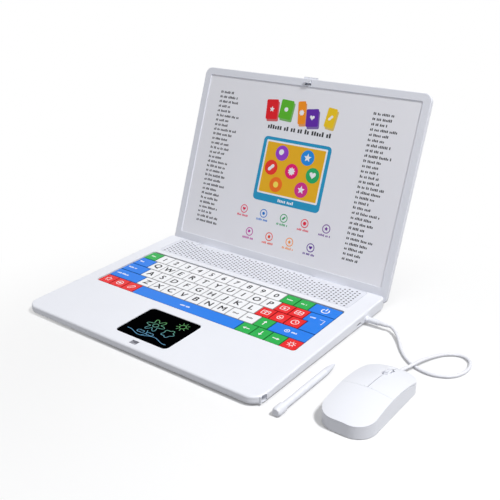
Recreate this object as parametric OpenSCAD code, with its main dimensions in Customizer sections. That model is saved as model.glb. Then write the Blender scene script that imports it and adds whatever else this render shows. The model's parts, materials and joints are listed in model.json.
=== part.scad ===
// Toy laptop computer with a wired mouse and a stylus, open for play.
// Origin: on the table, in the middle of the set's footprint without its cable.
// X runs to the player's right, Y away from the player, Z up.  Millimetres.

/* [Base] */
// Width of the base and of the lid
base_w = 300; // [290:1:320]
// Depth of the base
base_d = 228; // [224:1:250]
// Height of the deck's front edge above the table
deck_h = 10; // [9.6:0.1:14]
// Tilt of the deck towards the player, degrees
deck_tilt = 1.4; // [1.2:0.1:3]
// Radius of the base's front corners
corner_front = 14; // [8:1:20]
// Radius of the base's rear corners
corner_back = 5; // [3:1:7]
// Wall of the moulded cases
wall = 1.8; // [1.6:0.1:2.2]
// Depth of the upper case's rim, from the deck to the seam
rim_h = 4.2; // [3.8:0.1:4.6]
// Rounding of the deck's edge
deck_round = 2; // [1:0.5:2.5]
// Rounding of the lower case's bottom edge
belly_round = 3; // [2:0.5:3]
// Thickness of the rubber feet below the case
foot_t = 1.5; // [1:0.1:2]

/* [Keyboard] */
// Width of the deck on each side of the keyboard
key_side = 18.6; // [18:0.1:24]
// Front to back pitch of the keys
pitch_y = 18.4; // [17:0.1:19]
// Gap between neighbouring key caps
key_gap = 0.7; // [0.5:0.1:1.2]
// Height of a key cap
key_h = 2.4; // [2:0.1:2.8]
// Travel of a key
key_travel = 1.2; // [0.8:0.1:1.3]
// Depth of the key tops below the deck
key_sink = 0.6; // [0.2:0.1:0.8]
// Bevel round a key top
key_bevel = 0.5; // [0.2:0.1:0.8]
// Side of a key's square stem
stem_w = 5; // [4:0.5:6]
// Deck between the keyboard and the speaker grille
key_strip = 9; // [8:0.1:14]

/* [Drawing pad] */
// Width of the pad
pad_w = 67; // [50:1:80]
// Deck between the pad and the keyboard
pad_back = 13.5; // [12:0.5:25]
// Distance from the deck's front edge to the pad
pad_front = 15.5; // [15:0.5:20]
// Corner radius of the pad
pad_corner = 5; // [2:0.5:8]

/* [Speaker grille] */
// Width of the deck on each side of the grille
grille_side = 19.5; // [17:0.5:30]
// Depth of the grille
grille_d = 41.7; // [36:0.1:42]
// Sideways pitch of the holes
hole_pitch_x = 4.45; // [4.2:0.05:6]
// Front to back pitch of the holes
hole_pitch_y = 4.65; // [4.4:0.05:6]
// Diameter of a hole
hole_d = 2.3; // [1.2:0.1:2.6]
// Diameter of each loudspeaker
speaker_d = 32; // [24:1:34]

/* [Lid] */
// Angle between the open lid and the table's front, degrees
lid_open = 109.5; // [100:0.5:115]
// Distance of the closed lid's edge behind the base's front edge
lid_setback = 4; // [3.5:0.5:8]
// Length of the lid below the hinge axis
lid_tail = 4.2; // [3:0.1:4.5]
// Thickness of the lid's front frame
bezel_t = 3; // [2.6:0.1:3.4]
// Thickness of the lid's back cover
cover_t = 4.5; // [4:0.1:5]
// Radius of the lid's corners
lid_corner = 9; // [6:0.5:12]
// Frame width at the sides of the printed panel
bezel_side = 9; // [7:0.5:14]
// Frame width above the printed panel
bezel_top = 8.4; // [8.2:0.1:12]
// Frame width below the printed panel, from the hinge axis
bezel_foot = 13.5; // [12:0.5:20]
// Thickness of the printed panel
panel_t = 1.2; // [0.8:0.1:1.4]
// Depth of the printed panel below the frame's face
panel_sink = 1; // [0.6:0.1:1.4]

/* [Hinges] */
// Height of the hinge axis above the table
hinge_z = 10; // [9.8:0.1:10.4]
// Distance of the hinge axis from the base's rear edge
hinge_inset = 3.5; // [3:0.1:4]
// Sideways place of each hinge
hinge_x = 81; // [70:1:90]
// Width of each hinge barrel
barrel_w = 42; // [30:1:46]
// Diameter of each hinge barrel
barrel_d = 10; // [9:0.2:10]
// Diameter of the hinge pins
pin_d = 3; // [2.5:0.1:4]

/* [Latch] */
// Width of the latch tab on top of the lid
tab_w = 18; // [14:1:24]
// Height of the latch tab above the lid
tab_h = 2.5; // [2.3:0.1:4]
// Width of the latch hook
hook_w = 7; // [5:0.5:9]
// Travel of the latch
latch_travel = 2; // [1.6:0.1:2.1]

/* [Stylus] */
// Length of the stylus
stylus_len = 95; // [86:1:110]
// Diameter of the stylus
stylus_d = 6.4; // [5.6:0.1:6.6]
// Sideways place of the stylus beside the base
stylus_x = 167.5; // [162:0.5:175]

/* [Mouse] */
// Width of the mouse
mouse_w = 48; // [44:1:60]
// Length of the mouse
mouse_len = 103; // [92:1:112]
// Height of the mouse
mouse_h = 21; // [20:0.5:25]
// Sideways place of the mouse from the base's middle
mouse_x = 221; // [214:0.5:240]
// Front to back place of the mouse from the base's middle
mouse_y = -50; // [-60:0.5:-48]
// Diameter of the scroll wheel
wheel_d = 15; // [13:0.5:16]
// Width of the scroll wheel
wheel_w = 5; // [4:0.5:6]
// Place of the highest point of the mouse's back, from its middle
crest_y = -3.5; // [-8:0.5:0]
// Press angle of a mouse button, degrees
button_travel = 0.8; // [0.5:0.1:1]

/* [Cable] */
// Diameter of the mouse cable
cable_d = 3.2; // [2.8:0.1:3.4]
// Diameter of the plug's barrel
plug_d = 6; // [5:0.2:7]
// Length of the plug's barrel
plug_len = 12; // [10:0.5:14]

/* [Hidden] */
$fn = 48;

// Clearances: between parts that only pass each other, of sliding fits, of running bores
gap = 0.3;
slide_gap = 0.25;
bore_gap = 0.05;
// Overlap that makes a cut run clean through a face
cut = 1;

// Colours
shell_white = [0.93, 0.94, 0.97];
lid_grey = [0.8, 0.81, 0.84];
key_white = [0.96, 0.96, 0.98];
key_blue = [0.16, 0.47, 0.93];
key_red = [0.92, 0.12, 0.14];
key_green = [0.15, 0.66, 0.28];
board_green = [0.1, 0.4, 0.25];
steel = [0.7, 0.7, 0.72];

// --- places of the base, from the deck's height and tilt ---------------------------------
case_z = foot_t;                       // underside of the lower case
hinge_y = base_d / 2 - hinge_inset;
function deck_z(y) = deck_h + (y + base_d / 2) * tan(deck_tilt);
deck_len = base_d / cos(deck_tilt);
floor_z = case_z + wall;               // inside floor of the lower case
// depth of the inside floor below the deck, at a distance from the deck's front edge
function floor_depth(t) = deck_h - floor_z + t * sin(deck_tilt);
inner_front = corner_front - wall;
inner_back = corner_back - wall;
side_mid_x = base_w / 2 - wall - 10;   // middle of the strips beside the keyboard

// --- grille ----------------------------------------------------------------------------
grille_w = base_w - 2 * grille_side;
grille_back = 2.4;                     // deck behind the grille
grille_t0 = deck_len - grille_d - grille_back;   // grille's front edge, from the deck's front
grille_ledge = 2;
grille_gap = 0.45;                     // groove round the grille
grille_margin = 2.4;                   // from the grille's edge to the first holes' middles
grille_rib_x = 12.5 * hole_pitch_x;     // ribs under the grille, from the middle

// --- places of the lid ------------------------------------------------------------------
lid_gap = 0.7;                         // between the closed lid and the deck
lid_off = (deck_z(hinge_y) - hinge_z) * cos(deck_tilt) + lid_gap;  // axis to the lid's face
lid_t = bezel_t + cover_t;
lid_top = base_d - hinge_inset - lid_setback;   // from the axis to the lid's top edge
lid_round = 3;                         // rounding of the back cover's edge
face_round = 0.8;                      // rounding of the front frame's edge
cover_wall = 1.6;
cover_y = lid_off + bezel_t;  // where the back cover starts
lean = lid_open - 90;
lid_reach = hinge_y + (lid_top - lid_round) * sin(lean)
  + (lid_off + lid_t - lid_round) * cos(lean) + lid_round;

// --- the set's own middle ----------------------------------------------------------------
base_x = -(mouse_x + mouse_w / 2 - base_w / 2) / 2;
base_y = -(lid_reach - base_d / 2) / 2;

// --- keyboard ---------------------------------------------------------------------------
row_units = 14.85;                     // width of a row in key pitches
rows = 5;
keys_w = base_w - 2 * key_side;
keys_d = rows * pitch_y;
pitch_x = keys_w / row_units;
keys_front = grille_t0 - key_strip - keys_d;    // from the deck's front edge
pad_d = keys_front - pad_front - pad_back;
well_gap = 0.9;                        // between the outer keys and the well
well_corner = 3.5;
guide_t = 0.8;
guide_drop = key_sink + key_h + key_travel + gap;   // deck to the guide plate's top
guide_wall = 1.6;
stem_drop = guide_drop + guide_t + 1;               // deck to the stems' lower ends
membrane_t = 0.5;
membrane_drop = stem_drop + key_travel + 0.2;       // deck to the membrane's top
// key rows: [first key's left edge in pitches, row from the back, width in pitches]
function keys(x, row, count, units = 1) = [for (i = [0:count - 1]) [x + i * units, row, units]];
tab_u = 1.3;
caps_u = 1.7;
shift_u = 2.35;
esc_set = keys(0, 0, 1);
number_set = keys(1, 0, 10);
page_set = keys(11, 0, 2);
power_set = keys(13, 0, 1, row_units - 13);
tab_set = keys(0, 1, 1, tab_u);
top_letter_set = keys(tab_u, 1, 10);
upper_game_set = keys(tab_u + 10, 1, 2);
enter_upper = [tab_u + 12, 1, row_units - tab_u - 12];
caps_set = keys(0, 2, 1, caps_u);
home_letter_set = keys(caps_u, 2, 9);
story_set = keys(caps_u + 9, 2, 3);
enter_lower = [caps_u + 12, 2, row_units - caps_u - 12];
shift_set = keys(0, 3, 1, shift_u);
bottom_letter_set = keys(shift_u, 3, 9);
up_set = keys(shift_u + 9, 3, 1);
volume_set = keys(shift_u + 10, 3, 1, row_units - shift_u - 10);
song_set = keys(0, 4, 3);
space_set = keys(3, 4, 1, row_units - 7);
arrow_u = row_units - 4;               // left edge of the left arrow key
left_set = keys(arrow_u, 4, 1);
down_set = keys(arrow_u + 1, 4, 1);
right_set = keys(arrow_u + 2, 4, 1);
melody_set = keys(row_units - 1, 4, 1);
all_keys = concat(esc_set, number_set, page_set, power_set, tab_set, top_letter_set,
  upper_game_set, [enter_lower], caps_set, home_letter_set, story_set, shift_set,
  bottom_letter_set, up_set, volume_set, song_set, space_set, left_set, down_set, right_set,
  melody_set);

// --- latch ------------------------------------------------------------------------------
hook_len = 3.2;                        // along the lid
hook_top = lid_top - 1.7;              // top of the hook's shank
nose = 0.9;                            // reach of the hook under the deck's lip
hook_out = 3;                          // how far the hook stands out of the lid
latch_len = 14;                        // length of the latch's plate in the lid
slot_w = hook_w + 1.6;
slot_t0 = base_d / 2 - (hook_top + 0.3 - hinge_y);   // slot's front edge, from the deck's front
slot_len = hook_len + latch_travel + 1;
lip_t = 1.4;
pocket_deep = 3.4;
keeper_wall = 1.2;

// --- stylus tunnel ------------------------------------------------------------------------
tunnel_w = stylus_d + 0.6;
tunnel_y = -base_d / 2 + 11;
tunnel_z = (case_z + deck_z(tunnel_y)) / 2;
tunnel_len = stylus_len - 9;
tunnel_wall = 1.2;

// --- side sockets -----------------------------------------------------------------------
jack_y = base_d / 2 - 40;
jack_z = 6.2;
jack_d = 3.5;
jack_len = 13;
charge_y = base_d / 2 - 55;
charge_z = 6;
charge_w = 9;
charge_h = 3;
collar_t = 1.5;
collar_d = plug_d + 1.4;
relief_len = 10;

// --- feet and screws ----------------------------------------------------------------------
foot_len = 22;
foot_w = 8;
foot_seat = 0.6;
foot_x = base_w / 2 - 32;
foot_y = base_d / 2 - 20;
screw_spots = [[-side_mid_x, -base_d / 2 + 18], [-side_mid_x, 0], [-side_mid_x, base_d / 2 - 17],
  [side_mid_x, -base_d / 2 + 40], [side_mid_x, 0], [side_mid_x, base_d / 2 - 17]];
screw_d = 2.4;
head_d = 5;
head_t = 1.6;
screw_len = 6;
post_d = 8;
boss_d = 6;
boss_z = 5;                            // where the posts of both cases meet

// ==========================================================================================
// Frames: each piece is drawn in the frame of the body that carries it
// ==========================================================================================
module base_frame() translate([base_x, base_y, 0]) children();
module deck_frame()
  base_frame() translate([0, -base_d / 2, deck_h]) rotate([deck_tilt, 0, 0]) children();
module lid_frame() base_frame() translate([0, hinge_y, hinge_z]) rotate([-lean, 0, 0]) children();
module mouse_frame() base_frame() translate([mouse_x, mouse_y, 0]) children();

// ==========================================================================================
// Shared shapes
// ==========================================================================================
// Rectangle with one radius for its front corners and one for its rear corners
module outline(w, d, rf, rb) {
  union() {
    for (s = [-1, 1]) {
      translate([s * (w / 2 - rf), rf - d / 2]) circle(rf);
      translate([s * (w / 2 - rb), d / 2 - rb]) circle(rb);
    }
    translate([rf - w / 2, -d / 2]) square([w - 2 * rf, d / 2]);
    translate([rb - w / 2, 0]) square([w - 2 * rb, d / 2]);
    translate([-w / 2, rf - d / 2]) square([w, d - rf - rb]);
  }
}

// Section of a slab's rim: square at the bottom, rounded at the top
module rim_section(len, h, e) intersection() {
  union() {
    square([len - e, h]);
    square([len, h - e]);
    translate([len - e, h - e]) circle(e);
  }
  square([len, h]);
}

module rim_corner(r, h, e) rotate_extrude() rim_section(r, h, e);

// Slab with rounded corners whose top edge is rounded all round
module pillow(w, d, rf, rb, h, e) {
  for (s = [-1, 1]) {
    translate([s * (w / 2 - rf), rf - d / 2, 0]) rim_corner(rf, h, e);
    translate([s * (w / 2 - rb), d / 2 - rb, 0]) rim_corner(rb, h, e);
  }
  translate([0, (rf - rb) / 2, 0]) rotate([90, 0, 0]) linear_extrude(d - rf - rb, center = true)
    union() {
      rim_section(w / 2, h, e);
      mirror([1, 0]) rim_section(w / 2, h, e);
    }
  rotate([90, 0, 90]) linear_extrude(w - 2 * rf, center = true)
    translate([-d / 2, 0]) mirror([1, 0]) translate([-d / 2, 0]) rim_section(d / 2, h, e);
  rotate([90, 0, 90]) linear_extrude(w - 2 * rb, center = true)
    rim_section(d / 2, h, e);
}

// Prism over an outline, standing on z
module plate(w, d, r, z, h) translate([0, 0, z]) linear_extrude(h) outline(w, d, r, r);

module rod(d, h) cylinder(d = d, h = h);

// Round bar along X, centred
module bar_x(d, w) rotate([0, 90, 0]) cylinder(d = d, h = w, center = true);

// Bar with round ends lying along X
module oblong(len, w) {
  square([len - w, w], center = true);
  for (s = [-1, 1]) translate([s * (len - w) / 2, 0]) circle(d = w);
}

// ==========================================================================================
// Base
// ==========================================================================================
// Everything below the seam, which runs parallel to the deck
module below_seam(extra = 0)
  deck_frame() translate([-base_w, -base_d / 2, -rim_h - 4 * base_d + extra])
    cube([2 * base_w, 2 * base_d, 4 * base_d]);

module tunnel_hole(extra = 0)
  base_frame() translate([base_w / 2 - tunnel_len, tunnel_y, tunnel_z]) rotate([90, 0, 90])
    linear_extrude(tunnel_len + extra) outline(tunnel_w, tunnel_w, 2, 2);

module tunnel_block() {
  across = tunnel_w + 2 * tunnel_wall;
  base_frame()
    translate([base_w / 2 - tunnel_len - tunnel_wall, tunnel_y - across / 2, case_z + wall / 2])
      cube([tunnel_len + tunnel_wall - wall / 2, across, deck_z(tunnel_y) - case_z - wall]);
}

// Room in the rear edge for the barrels of the lid
module hinge_notches()
  base_frame() for (s = [-1, 1])
    translate([s * hinge_x - barrel_w / 2 - gap - wall / 9,
      hinge_y - barrel_d / 2 - gap, floor_z])
      cube([barrel_w + 2 * gap + 2 * wall / 9, base_d, 2 * deck_h]);

module hinge_towers() {
  tower_w = 5;
  in_x = barrel_w / 2 + 2 * gap + wall / 9;
  for (s = [-1, 1], t = [-1, 1])
    translate([s * hinge_x + t * (in_x + tower_w / 2), 0, 0])
      difference() {
        translate([-tower_w / 2, hinge_y - 5, floor_z - wall / 2])
          cube([tower_w, base_d / 2 - wall - gap - hinge_y + 5,
            deck_z(hinge_y) - wall - gap - floor_z]);
        translate([0, hinge_y, hinge_z]) bar_x(pin_d + 2 * bore_gap, tower_w + cut);
      }
}

module bottom_case() color(shell_white) {
  difference() {
    union() {
      intersection() {
        difference() {
          base_frame() translate([0, 0, case_z]) mirror([0, 0, 1]) translate([0, 0, -4 * deck_h])
            pillow(base_w, base_d, corner_front, corner_back, 4 * deck_h, belly_round);
          base_frame() translate([0, 0, floor_z]) linear_extrude(5 * deck_h)
            outline(base_w - 2 * wall, base_d - 2 * wall, inner_front, inner_back);
        }
        below_seam();
      }
      intersection() {
        tunnel_block();
        below_seam();
      }
      base_frame() for (p = screw_spots)
        translate([p[0], p[1], floor_z - wall / 2]) rod(post_d, boss_z - floor_z + wall / 2);
      // ribs that carry the keyboard's membrane
      intersection() {
        base_frame() for (i = [1:4])
          translate([-keys_w / 2, -base_d / 2 + keys_front + i * keys_d / 5, floor_z - wall / 2])
            cube([keys_w, wall, 2 * deck_h]);
        below_seam(rim_h - membrane_drop - membrane_t);
      }
    }
    tunnel_hole(cut);
    hinge_notches();
    base_frame() {
      for (sx = [-1, 1], sy = [-1, 1])
        translate([sx * foot_x, sy * foot_y, case_z - cut]) linear_extrude(foot_seat + cut)
          oblong(foot_len + 2 * gap, foot_w + 2 * gap);
      for (p = screw_spots) translate([p[0], p[1], case_z]) {
        translate([0, 0, -cut]) rod(head_d + 2 * gap, head_t + cut + gap);
        rod(screw_d + gap, 2 * deck_h);
      }
      translate([base_w / 2, jack_y, jack_z]) bar_x(jack_d + 2 * gap, 6 * wall);
      translate([base_w / 2, charge_y, charge_z]) rotate([90, 0, 90])
        linear_extrude(6 * wall, center = true) oblong(charge_w, charge_h);
    }
  }
  base_frame() hinge_towers();
}

module well(grow) translate([0, keys_front + keys_d / 2]) outline(keys_w + 2 * grow,
  keys_d + 2 * grow, well_corner, well_corner);

module grille_place() translate([0, grille_t0 + grille_d / 2]) children();

module top_case() color(shell_white) difference() {
  union() {
    deck_frame() difference() {
      translate([0, deck_len / 2, -rim_h])
        pillow(base_w, deck_len, corner_front, corner_back, rim_h, deck_round);
      translate([0, deck_len / 2, -rim_h - cut]) linear_extrude(rim_h + cut - wall)
        outline(base_w - 2 * wall, deck_len - 2 * wall, inner_front, inner_back);
    }
    intersection() {
      deck_frame() difference() {
        translate([-2 * base_w, -base_d, -rim_h]) cube([4 * base_w, 3 * base_d, rim_h - wall / 2]);
      }
      tunnel_block();
    }
    // keeper pocket for the latch
    deck_frame() translate([-slot_w / 2 - keeper_wall, deck_round, -pocket_deep - keeper_wall])
      cube([slot_w + 2 * keeper_wall, slot_t0 + slot_len + keeper_wall - deck_round,
        pocket_deep + keeper_wall - wall / 2]);
    // screw bosses
    intersection() {
      base_frame() for (p = screw_spots)
        translate([p[0], p[1], boss_z]) rod(boss_d, 2 * deck_h);
      deck_frame() translate([-base_w, -base_d, -4 * deck_h - wall / 2])
        cube([2 * base_w, 3 * base_d, 4 * deck_h]);
    }
  }
  deck_frame() {
    translate([0, 0, -wall - cut]) linear_extrude(wall + 2 * cut) well(well_gap);
    translate([0, 0, -wall - cut]) linear_extrude(wall + 2 * cut)
      translate([0, pad_front + pad_d / 2])
        outline(pad_w + gap, pad_d + gap, pad_corner, pad_corner);
    // grille opening with a ledge round it
    translate([0, 0, -wall / 2]) linear_extrude(wall) grille_place()
      outline(grille_w + 2 * grille_gap, grille_d + 2 * grille_gap, 3 + grille_gap, 3 + grille_gap);
    translate([0, 0, -wall - cut]) linear_extrude(wall + 2 * cut) grille_place() difference() {
      outline(grille_w - 2 * grille_ledge, grille_d - 2 * grille_ledge, 2, 2);
      // ribs that carry the strip behind the grille, between two columns of holes
      for (s = [-1, 1]) translate([s * grille_rib_x - 1, -grille_d]) square([2, 2 * grille_d]);
    }
    // latch slot and its undercut
    translate([-slot_w / 2, slot_t0, -pocket_deep]) cube([slot_w, slot_len, pocket_deep + cut]);
    translate([-slot_w / 2, slot_t0 - nose - gap, -pocket_deep])
      cube([slot_w, slot_len, pocket_deep - lip_t]);
  }
  tunnel_hole(cut);
  hinge_notches();
  base_frame() for (p = screw_spots) translate([p[0], p[1], boss_z - cut])
    rod(screw_d, deck_z(p[1]) - wall - gap - boss_z + cut);
}

// Perforated strip over the loudspeakers: the holes stand in staggered columns
module speaker_grille() color(shell_white) difference() {
  columns = floor((grille_w / 2 - grille_margin) / hole_pitch_x);
  room = grille_d - 2 * grille_margin;
  deck_frame() translate([0, 0, -wall / 2]) linear_extrude(wall / 2) difference() {
    grille_place() outline(grille_w, grille_d, 3, 3);
    grille_place() for (i = [-columns:columns]) {
      start = (i % 2 == 0) ? 0 : hole_pitch_y / 2;
      for (j = [0:floor((room - start) / hole_pitch_y)]) {
        spot = [i * hole_pitch_x, grille_margin - grille_d / 2 + start + j * hole_pitch_y];
        covered = abs(abs(spot[0]) - hinge_x) < barrel_w / 2 + hole_d
          && spot[1] > grille_d / 2 + grille_back - hinge_inset - barrel_d / 2 - hole_d;
        if (!covered) translate(spot) circle(d = hole_d, $fn = 16);
      }
    }
  }
  hinge_notches();
}

module oblique_plate(w, t0, d, drop, h, r = 2)
  deck_frame() translate([0, t0 + d / 2, -drop - h]) linear_extrude(h) outline(w, d, r, r);

module drawing_pad() color([0.02, 0.02, 0.03])
  oblique_plate(pad_w, pad_front, pad_d, key_sink, wall - key_sink, pad_corner);

module pad_board() color(board_green) oblique_plate(pad_w + 6, pad_front - 2, pad_d + 6, wall, 1);

speaker_x = 38;
speaker_h = 5.5;
module speakers() color([0.15, 0.15, 0.16])
  deck_frame() for (x = [-speaker_x, speaker_x])
    translate([x, grille_t0 + grille_d / 2 - 1, -wall / 2 - slide_gap - speaker_h]) {
      translate([0, 0, speaker_h - 1.5]) difference() {
        rod(speaker_d, 1.5);
        translate([0, 0, 0.7]) rod(speaker_d - 4, 1.5);
      }
      rod(speaker_d * 0.6, speaker_h - 1.5);
      translate([0, 0, speaker_h - 1.3]) rod(speaker_d / 3, 1);
    }

board_w = 36;
board_d = 26;
board_t = 1.2;
board_post = 2.2;
chip_w = 14;
module main_board() color(board_green) base_frame()
  translate([0, base_d / 2 - grille_back - board_d - 12, floor_z]) {
    translate([-board_w / 2, 0, board_post]) difference() {
      cube([board_w, board_d, board_t]);
      for (x = [3, board_w - 3]) translate([x, board_d - 3, -cut]) rod(2, board_t + 2 * cut);
    }
    translate([-chip_w / 2, 6, board_post + board_t]) cube([chip_w, chip_w, board_t]);
    for (s = [-1, 1]) translate([s * board_w / 3, 6, 0]) rod(3, board_post);
  }

cell_w = 58;
cell_d = 28;
cell_h = 6;
cell_side = 22;                        // from the case's outside to the cells
cell_back = 13;
module battery_pack() color([0.75, 0.78, 0.82])
  base_frame() translate([cell_side - base_w / 2, base_d / 2 - cell_d - cell_back, floor_z + gap / 2])
    cube([cell_w, cell_d, cell_h]);

module rubber_feet() color([0.35, 0.35, 0.37])
  base_frame() for (sx = [-1, 1], sy = [-1, 1])
    translate([sx * foot_x, sy * foot_y, 0]) linear_extrude(foot_t + foot_seat)
      oblong(foot_len, foot_w);

module case_screws() color(steel) base_frame() for (p = screw_spots)
  translate([p[0], p[1], case_z + 0.2]) difference() {
    union() {
      rod(head_d, head_t);
      rod(screw_d - 2 * bore_gap, screw_len);
    }
    translate([0, 0, -cut]) linear_extrude(cut + 0.7) {
      square([3, 0.7], center = true);
      square([0.7, 3], center = true);
    }
  }

module hinge_pins() color(steel) base_frame() for (s = [-1, 1])
  translate([s * hinge_x, hinge_y, hinge_z]) bar_x(pin_d, barrel_w + 4 * gap + wall / 3 + 9);

washer_t = 0.4;
module friction_washers() color([0.85, 0.75, 0.4]) base_frame() for (s = [-1, 1])
  translate([s * (hinge_x + barrel_w / 2 + 0.1 + washer_t / 2), hinge_y, hinge_z]) difference() {
    bar_x(pin_d * 2, washer_t);
    bar_x(pin_d + 2 * bore_gap, washer_t + cut);
  }

module jack_socket() color([0.1, 0.1, 0.11]) base_frame()
  translate([base_w / 2 - wall - gap - jack_len, jack_y, jack_z]) difference() {
    translate([0, -4, floor_z - jack_z + 0.1]) cube([jack_len, 8, 2 * (jack_z - floor_z)]);
    translate([jack_len, 0, 0]) bar_x(jack_d + 0.3, 2 * jack_len - 1);
  }

module charging_socket() color(steel) base_frame()
  translate([base_w / 2 - wall - gap - 7, charge_y, charge_z]) rotate([90, 0, 90]) {
    linear_extrude(7) difference() {
      oblong(charge_w + 0.6, charge_h + 0.6);
      oblong(charge_w - 0.2, charge_h - 0.4);
    }
    linear_extrude(1) oblong(charge_w, charge_h);
    linear_extrude(5.5) square([charge_w - 3, 0.8], center = true);
    translate([-charge_w / 2, floor_z - charge_z, 0]) cube([charge_w, 0.9, 6]);
  }

// ==========================================================================================
// Keyboard
// ==========================================================================================
// Rectangle of a key's own field: left edge, front edge, width, depth
function field(k) = [k[0] * pitch_x - keys_w / 2, keys_front + (rows - 1 - k[1]) * pitch_y,
  k[2] * pitch_x, pitch_y];

// Middles of the stems below a key
function stems(k) = let (f = field(k), m = f[0] + f[2] / 2, y = f[1] + f[3] / 2,
  side = f[2] / 2 - pitch_x / 2)
  k[2] < 2 ? [[m, y]] : k[2] < 4 ? [[m - side, y], [m + side, y]]
  : [[m - side, y], [m, y], [m + side, y]];

// Section of a cap: upright sides and a bevelled top
module cap_section(len)
  polygon([[0, 0], [len, 0], [len, key_h - key_bevel], [len - key_bevel, key_h],
    [key_bevel, key_h], [0, key_h - key_bevel]]);

// Cap over a field that spans whole rows
module cap(f) translate([f[0] + key_gap / 2, f[1] + key_gap / 2, -key_sink - key_h])
  intersection() {
    translate([0, f[3], 0]) rotate([90, 0, 0]) linear_extrude(2 * f[3], center = true)
      cap_section(f[2] - key_gap);
    rotate([90, 0, 90]) linear_extrude(f[2]) cap_section(f[3] - key_gap);
  }

module stem(p) translate([p[0] - stem_w / 2, p[1] - stem_w / 2, -stem_drop])
  cube([stem_w, stem_w, stem_drop - key_sink - key_h / 2]);

module key_set(set) deck_frame() for (k = set) union() {
  cap(field(k));
  for (p = stems(k)) stem(p);
}

// Keys at the keyboard's corners follow the rounded corner of the well
module corner_key_set(set) intersection() {
  key_set(set);
  deck_frame() translate([0, 0, -2 * stem_drop]) linear_extrude(2 * stem_drop)
    translate([0, keys_front + keys_d / 2]) difference() {
      square([keys_w, keys_d], center = true);
      for (sx = [-1, 1], sy = [-1, 1]) translate([sx * keys_w / 2, sy * keys_d / 2])
        polygon([[cut * sx, cut * sy], [-2.6 * sx, cut * sy], [-2.6 * sx, 0], [-1 * sx, -1 * sy],
          [0, -2.6 * sy], [cut * sx, -2.6 * sy]]);
    }
}

module esc_key() color(key_green) corner_key_set(esc_set);
module number_keys() color(key_white) key_set(number_set);
module page_keys() color(key_green) key_set(page_set);
module power_key() color(key_blue) corner_key_set(power_set);
module tab_key() color(key_blue) key_set(tab_set);
module top_letter_keys() color(key_white) key_set(top_letter_set);
module upper_game_keys() color(key_red) key_set(upper_game_set);
module caps_key() color(key_blue) key_set(caps_set);
module home_letter_keys() color(key_white) key_set(home_letter_set);
module story_keys() color(key_red) key_set(story_set);
module shift_key() color(key_blue) key_set(shift_set);
module bottom_letter_keys() color(key_white) key_set(bottom_letter_set);
module up_key() color(key_green) key_set(up_set);
module volume_key() color(key_blue) key_set(volume_set);
module song_keys() color(key_red) corner_key_set(song_set);
module space_key() color(key_blue) key_set(space_set);
module left_key() color(key_green) key_set(left_set);
module down_key() color(key_green) key_set(down_set);
module right_key() color(key_green) key_set(right_set);
module melody_key() color(key_red) corner_key_set(melody_set);

// The enter key is an L: its upper arm reaches further left than its lower one
module enter_key() color(key_blue) deck_frame() {
  upper = field(enter_upper);
  lower = field(enter_lower);
  union() {
    cap(upper);
    cap([lower[0], lower[1], lower[2], 2 * pitch_y]);
    for (p = stems(enter_lower)) stem(p);
  }
}

module key_guide() color([0.25, 0.25, 0.27]) deck_frame() difference() {
  union() {
    translate([0, 0, -guide_drop - guide_t]) linear_extrude(guide_t) well(well_gap + guide_wall);
    translate([0, 0, -guide_drop - guide_t]) linear_extrude(guide_drop + guide_t - wall)
      difference() {
        well(well_gap + guide_wall);
        well(well_gap);
      }
  }
  for (k = all_keys, p = stems(k))
    translate([p[0] - stem_w / 2 - slide_gap, p[1] - stem_w / 2 - slide_gap, -2 * stem_drop])
      cube([stem_w + 2 * slide_gap, stem_w + 2 * slide_gap, 2 * stem_drop]);
}

// Rubber sheet with a low ring under each stem
module key_membrane() color([0.85, 0.86, 0.88]) deck_frame() {
  ring_in = stem_w * 0.75 + 0.2;
  translate([0, 0, -membrane_drop - membrane_t]) linear_extrude(membrane_t) well(-1);
  translate([0, 0, -membrane_drop]) linear_extrude(0.9) for (k = all_keys, p = stems(k))
    translate(p) difference() {
      circle(ring_in + 0.8, $fn = 8);
      circle(ring_in, $fn = 8);
    }
}

// ==========================================================================================
// Lid, drawn upright on the hinge axis: X along the hinge, Z up the lid, Y to its back
// ==========================================================================================
lid_len = lid_top + lid_tail;
lid_mid = (lid_top - lid_tail) / 2;
panel_w = base_w - 2 * bezel_side;
panel_len = lid_top - bezel_top - bezel_foot;
panel_mid = bezel_foot + panel_len / 2;
panel_lap = 2;
panel_round = 1.5;
arm_up = 3.5;                          // height of the barrels' arms above the axis
hook_room = hook_w / 2 + 0.8;

// Slab standing in the lid, its outside away from the panel
module lid_slab(y, h, e, front = false)
  translate([0, y, lid_mid]) rotate([front ? 90 : -90, 0, 0])
    translate([0, 0, front ? -h : 0]) pillow(base_w, lid_len, lid_corner, lid_corner, h, e);

module lid_prism(w, len, r, y, h)
  translate([0, y + h, panel_mid]) rotate([90, 0, 0]) linear_extrude(h) outline(w, len, r, r);

module lid_bezel() color(lid_grey) lid_frame() difference() {
  union() {
    lid_slab(lid_off, bezel_t, face_round, true);
    // hinge barrels and the arms that carry them
    for (s = [-1, 1]) translate([s * hinge_x, 0, 0]) {
      bar_x(barrel_d, barrel_w);
      translate([-barrel_w / 2, 0, -lid_tail + face_round])
        cube([barrel_w, lid_off + bezel_t / 2, lid_tail - face_round + arm_up]);
    }
  }
  lid_prism(panel_w, panel_len, panel_round, lid_off - cut, bezel_t + 2 * cut);
  lid_prism(panel_w + 2 * panel_lap, panel_len + 2 * panel_lap, panel_round,
    lid_off + panel_sink, bezel_t);
  for (s = [-1, 1]) translate([s * hinge_x, 0, 0]) bar_x(pin_d + 2 * bore_gap, barrel_w + cut);
  // window for the latch hook
  translate([-hook_room, lid_off - cut, hook_top - hook_len - latch_travel - gap])
    cube([2 * hook_room, bezel_t + 2 * cut, hook_len + latch_travel + 2 * gap]);
}

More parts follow.
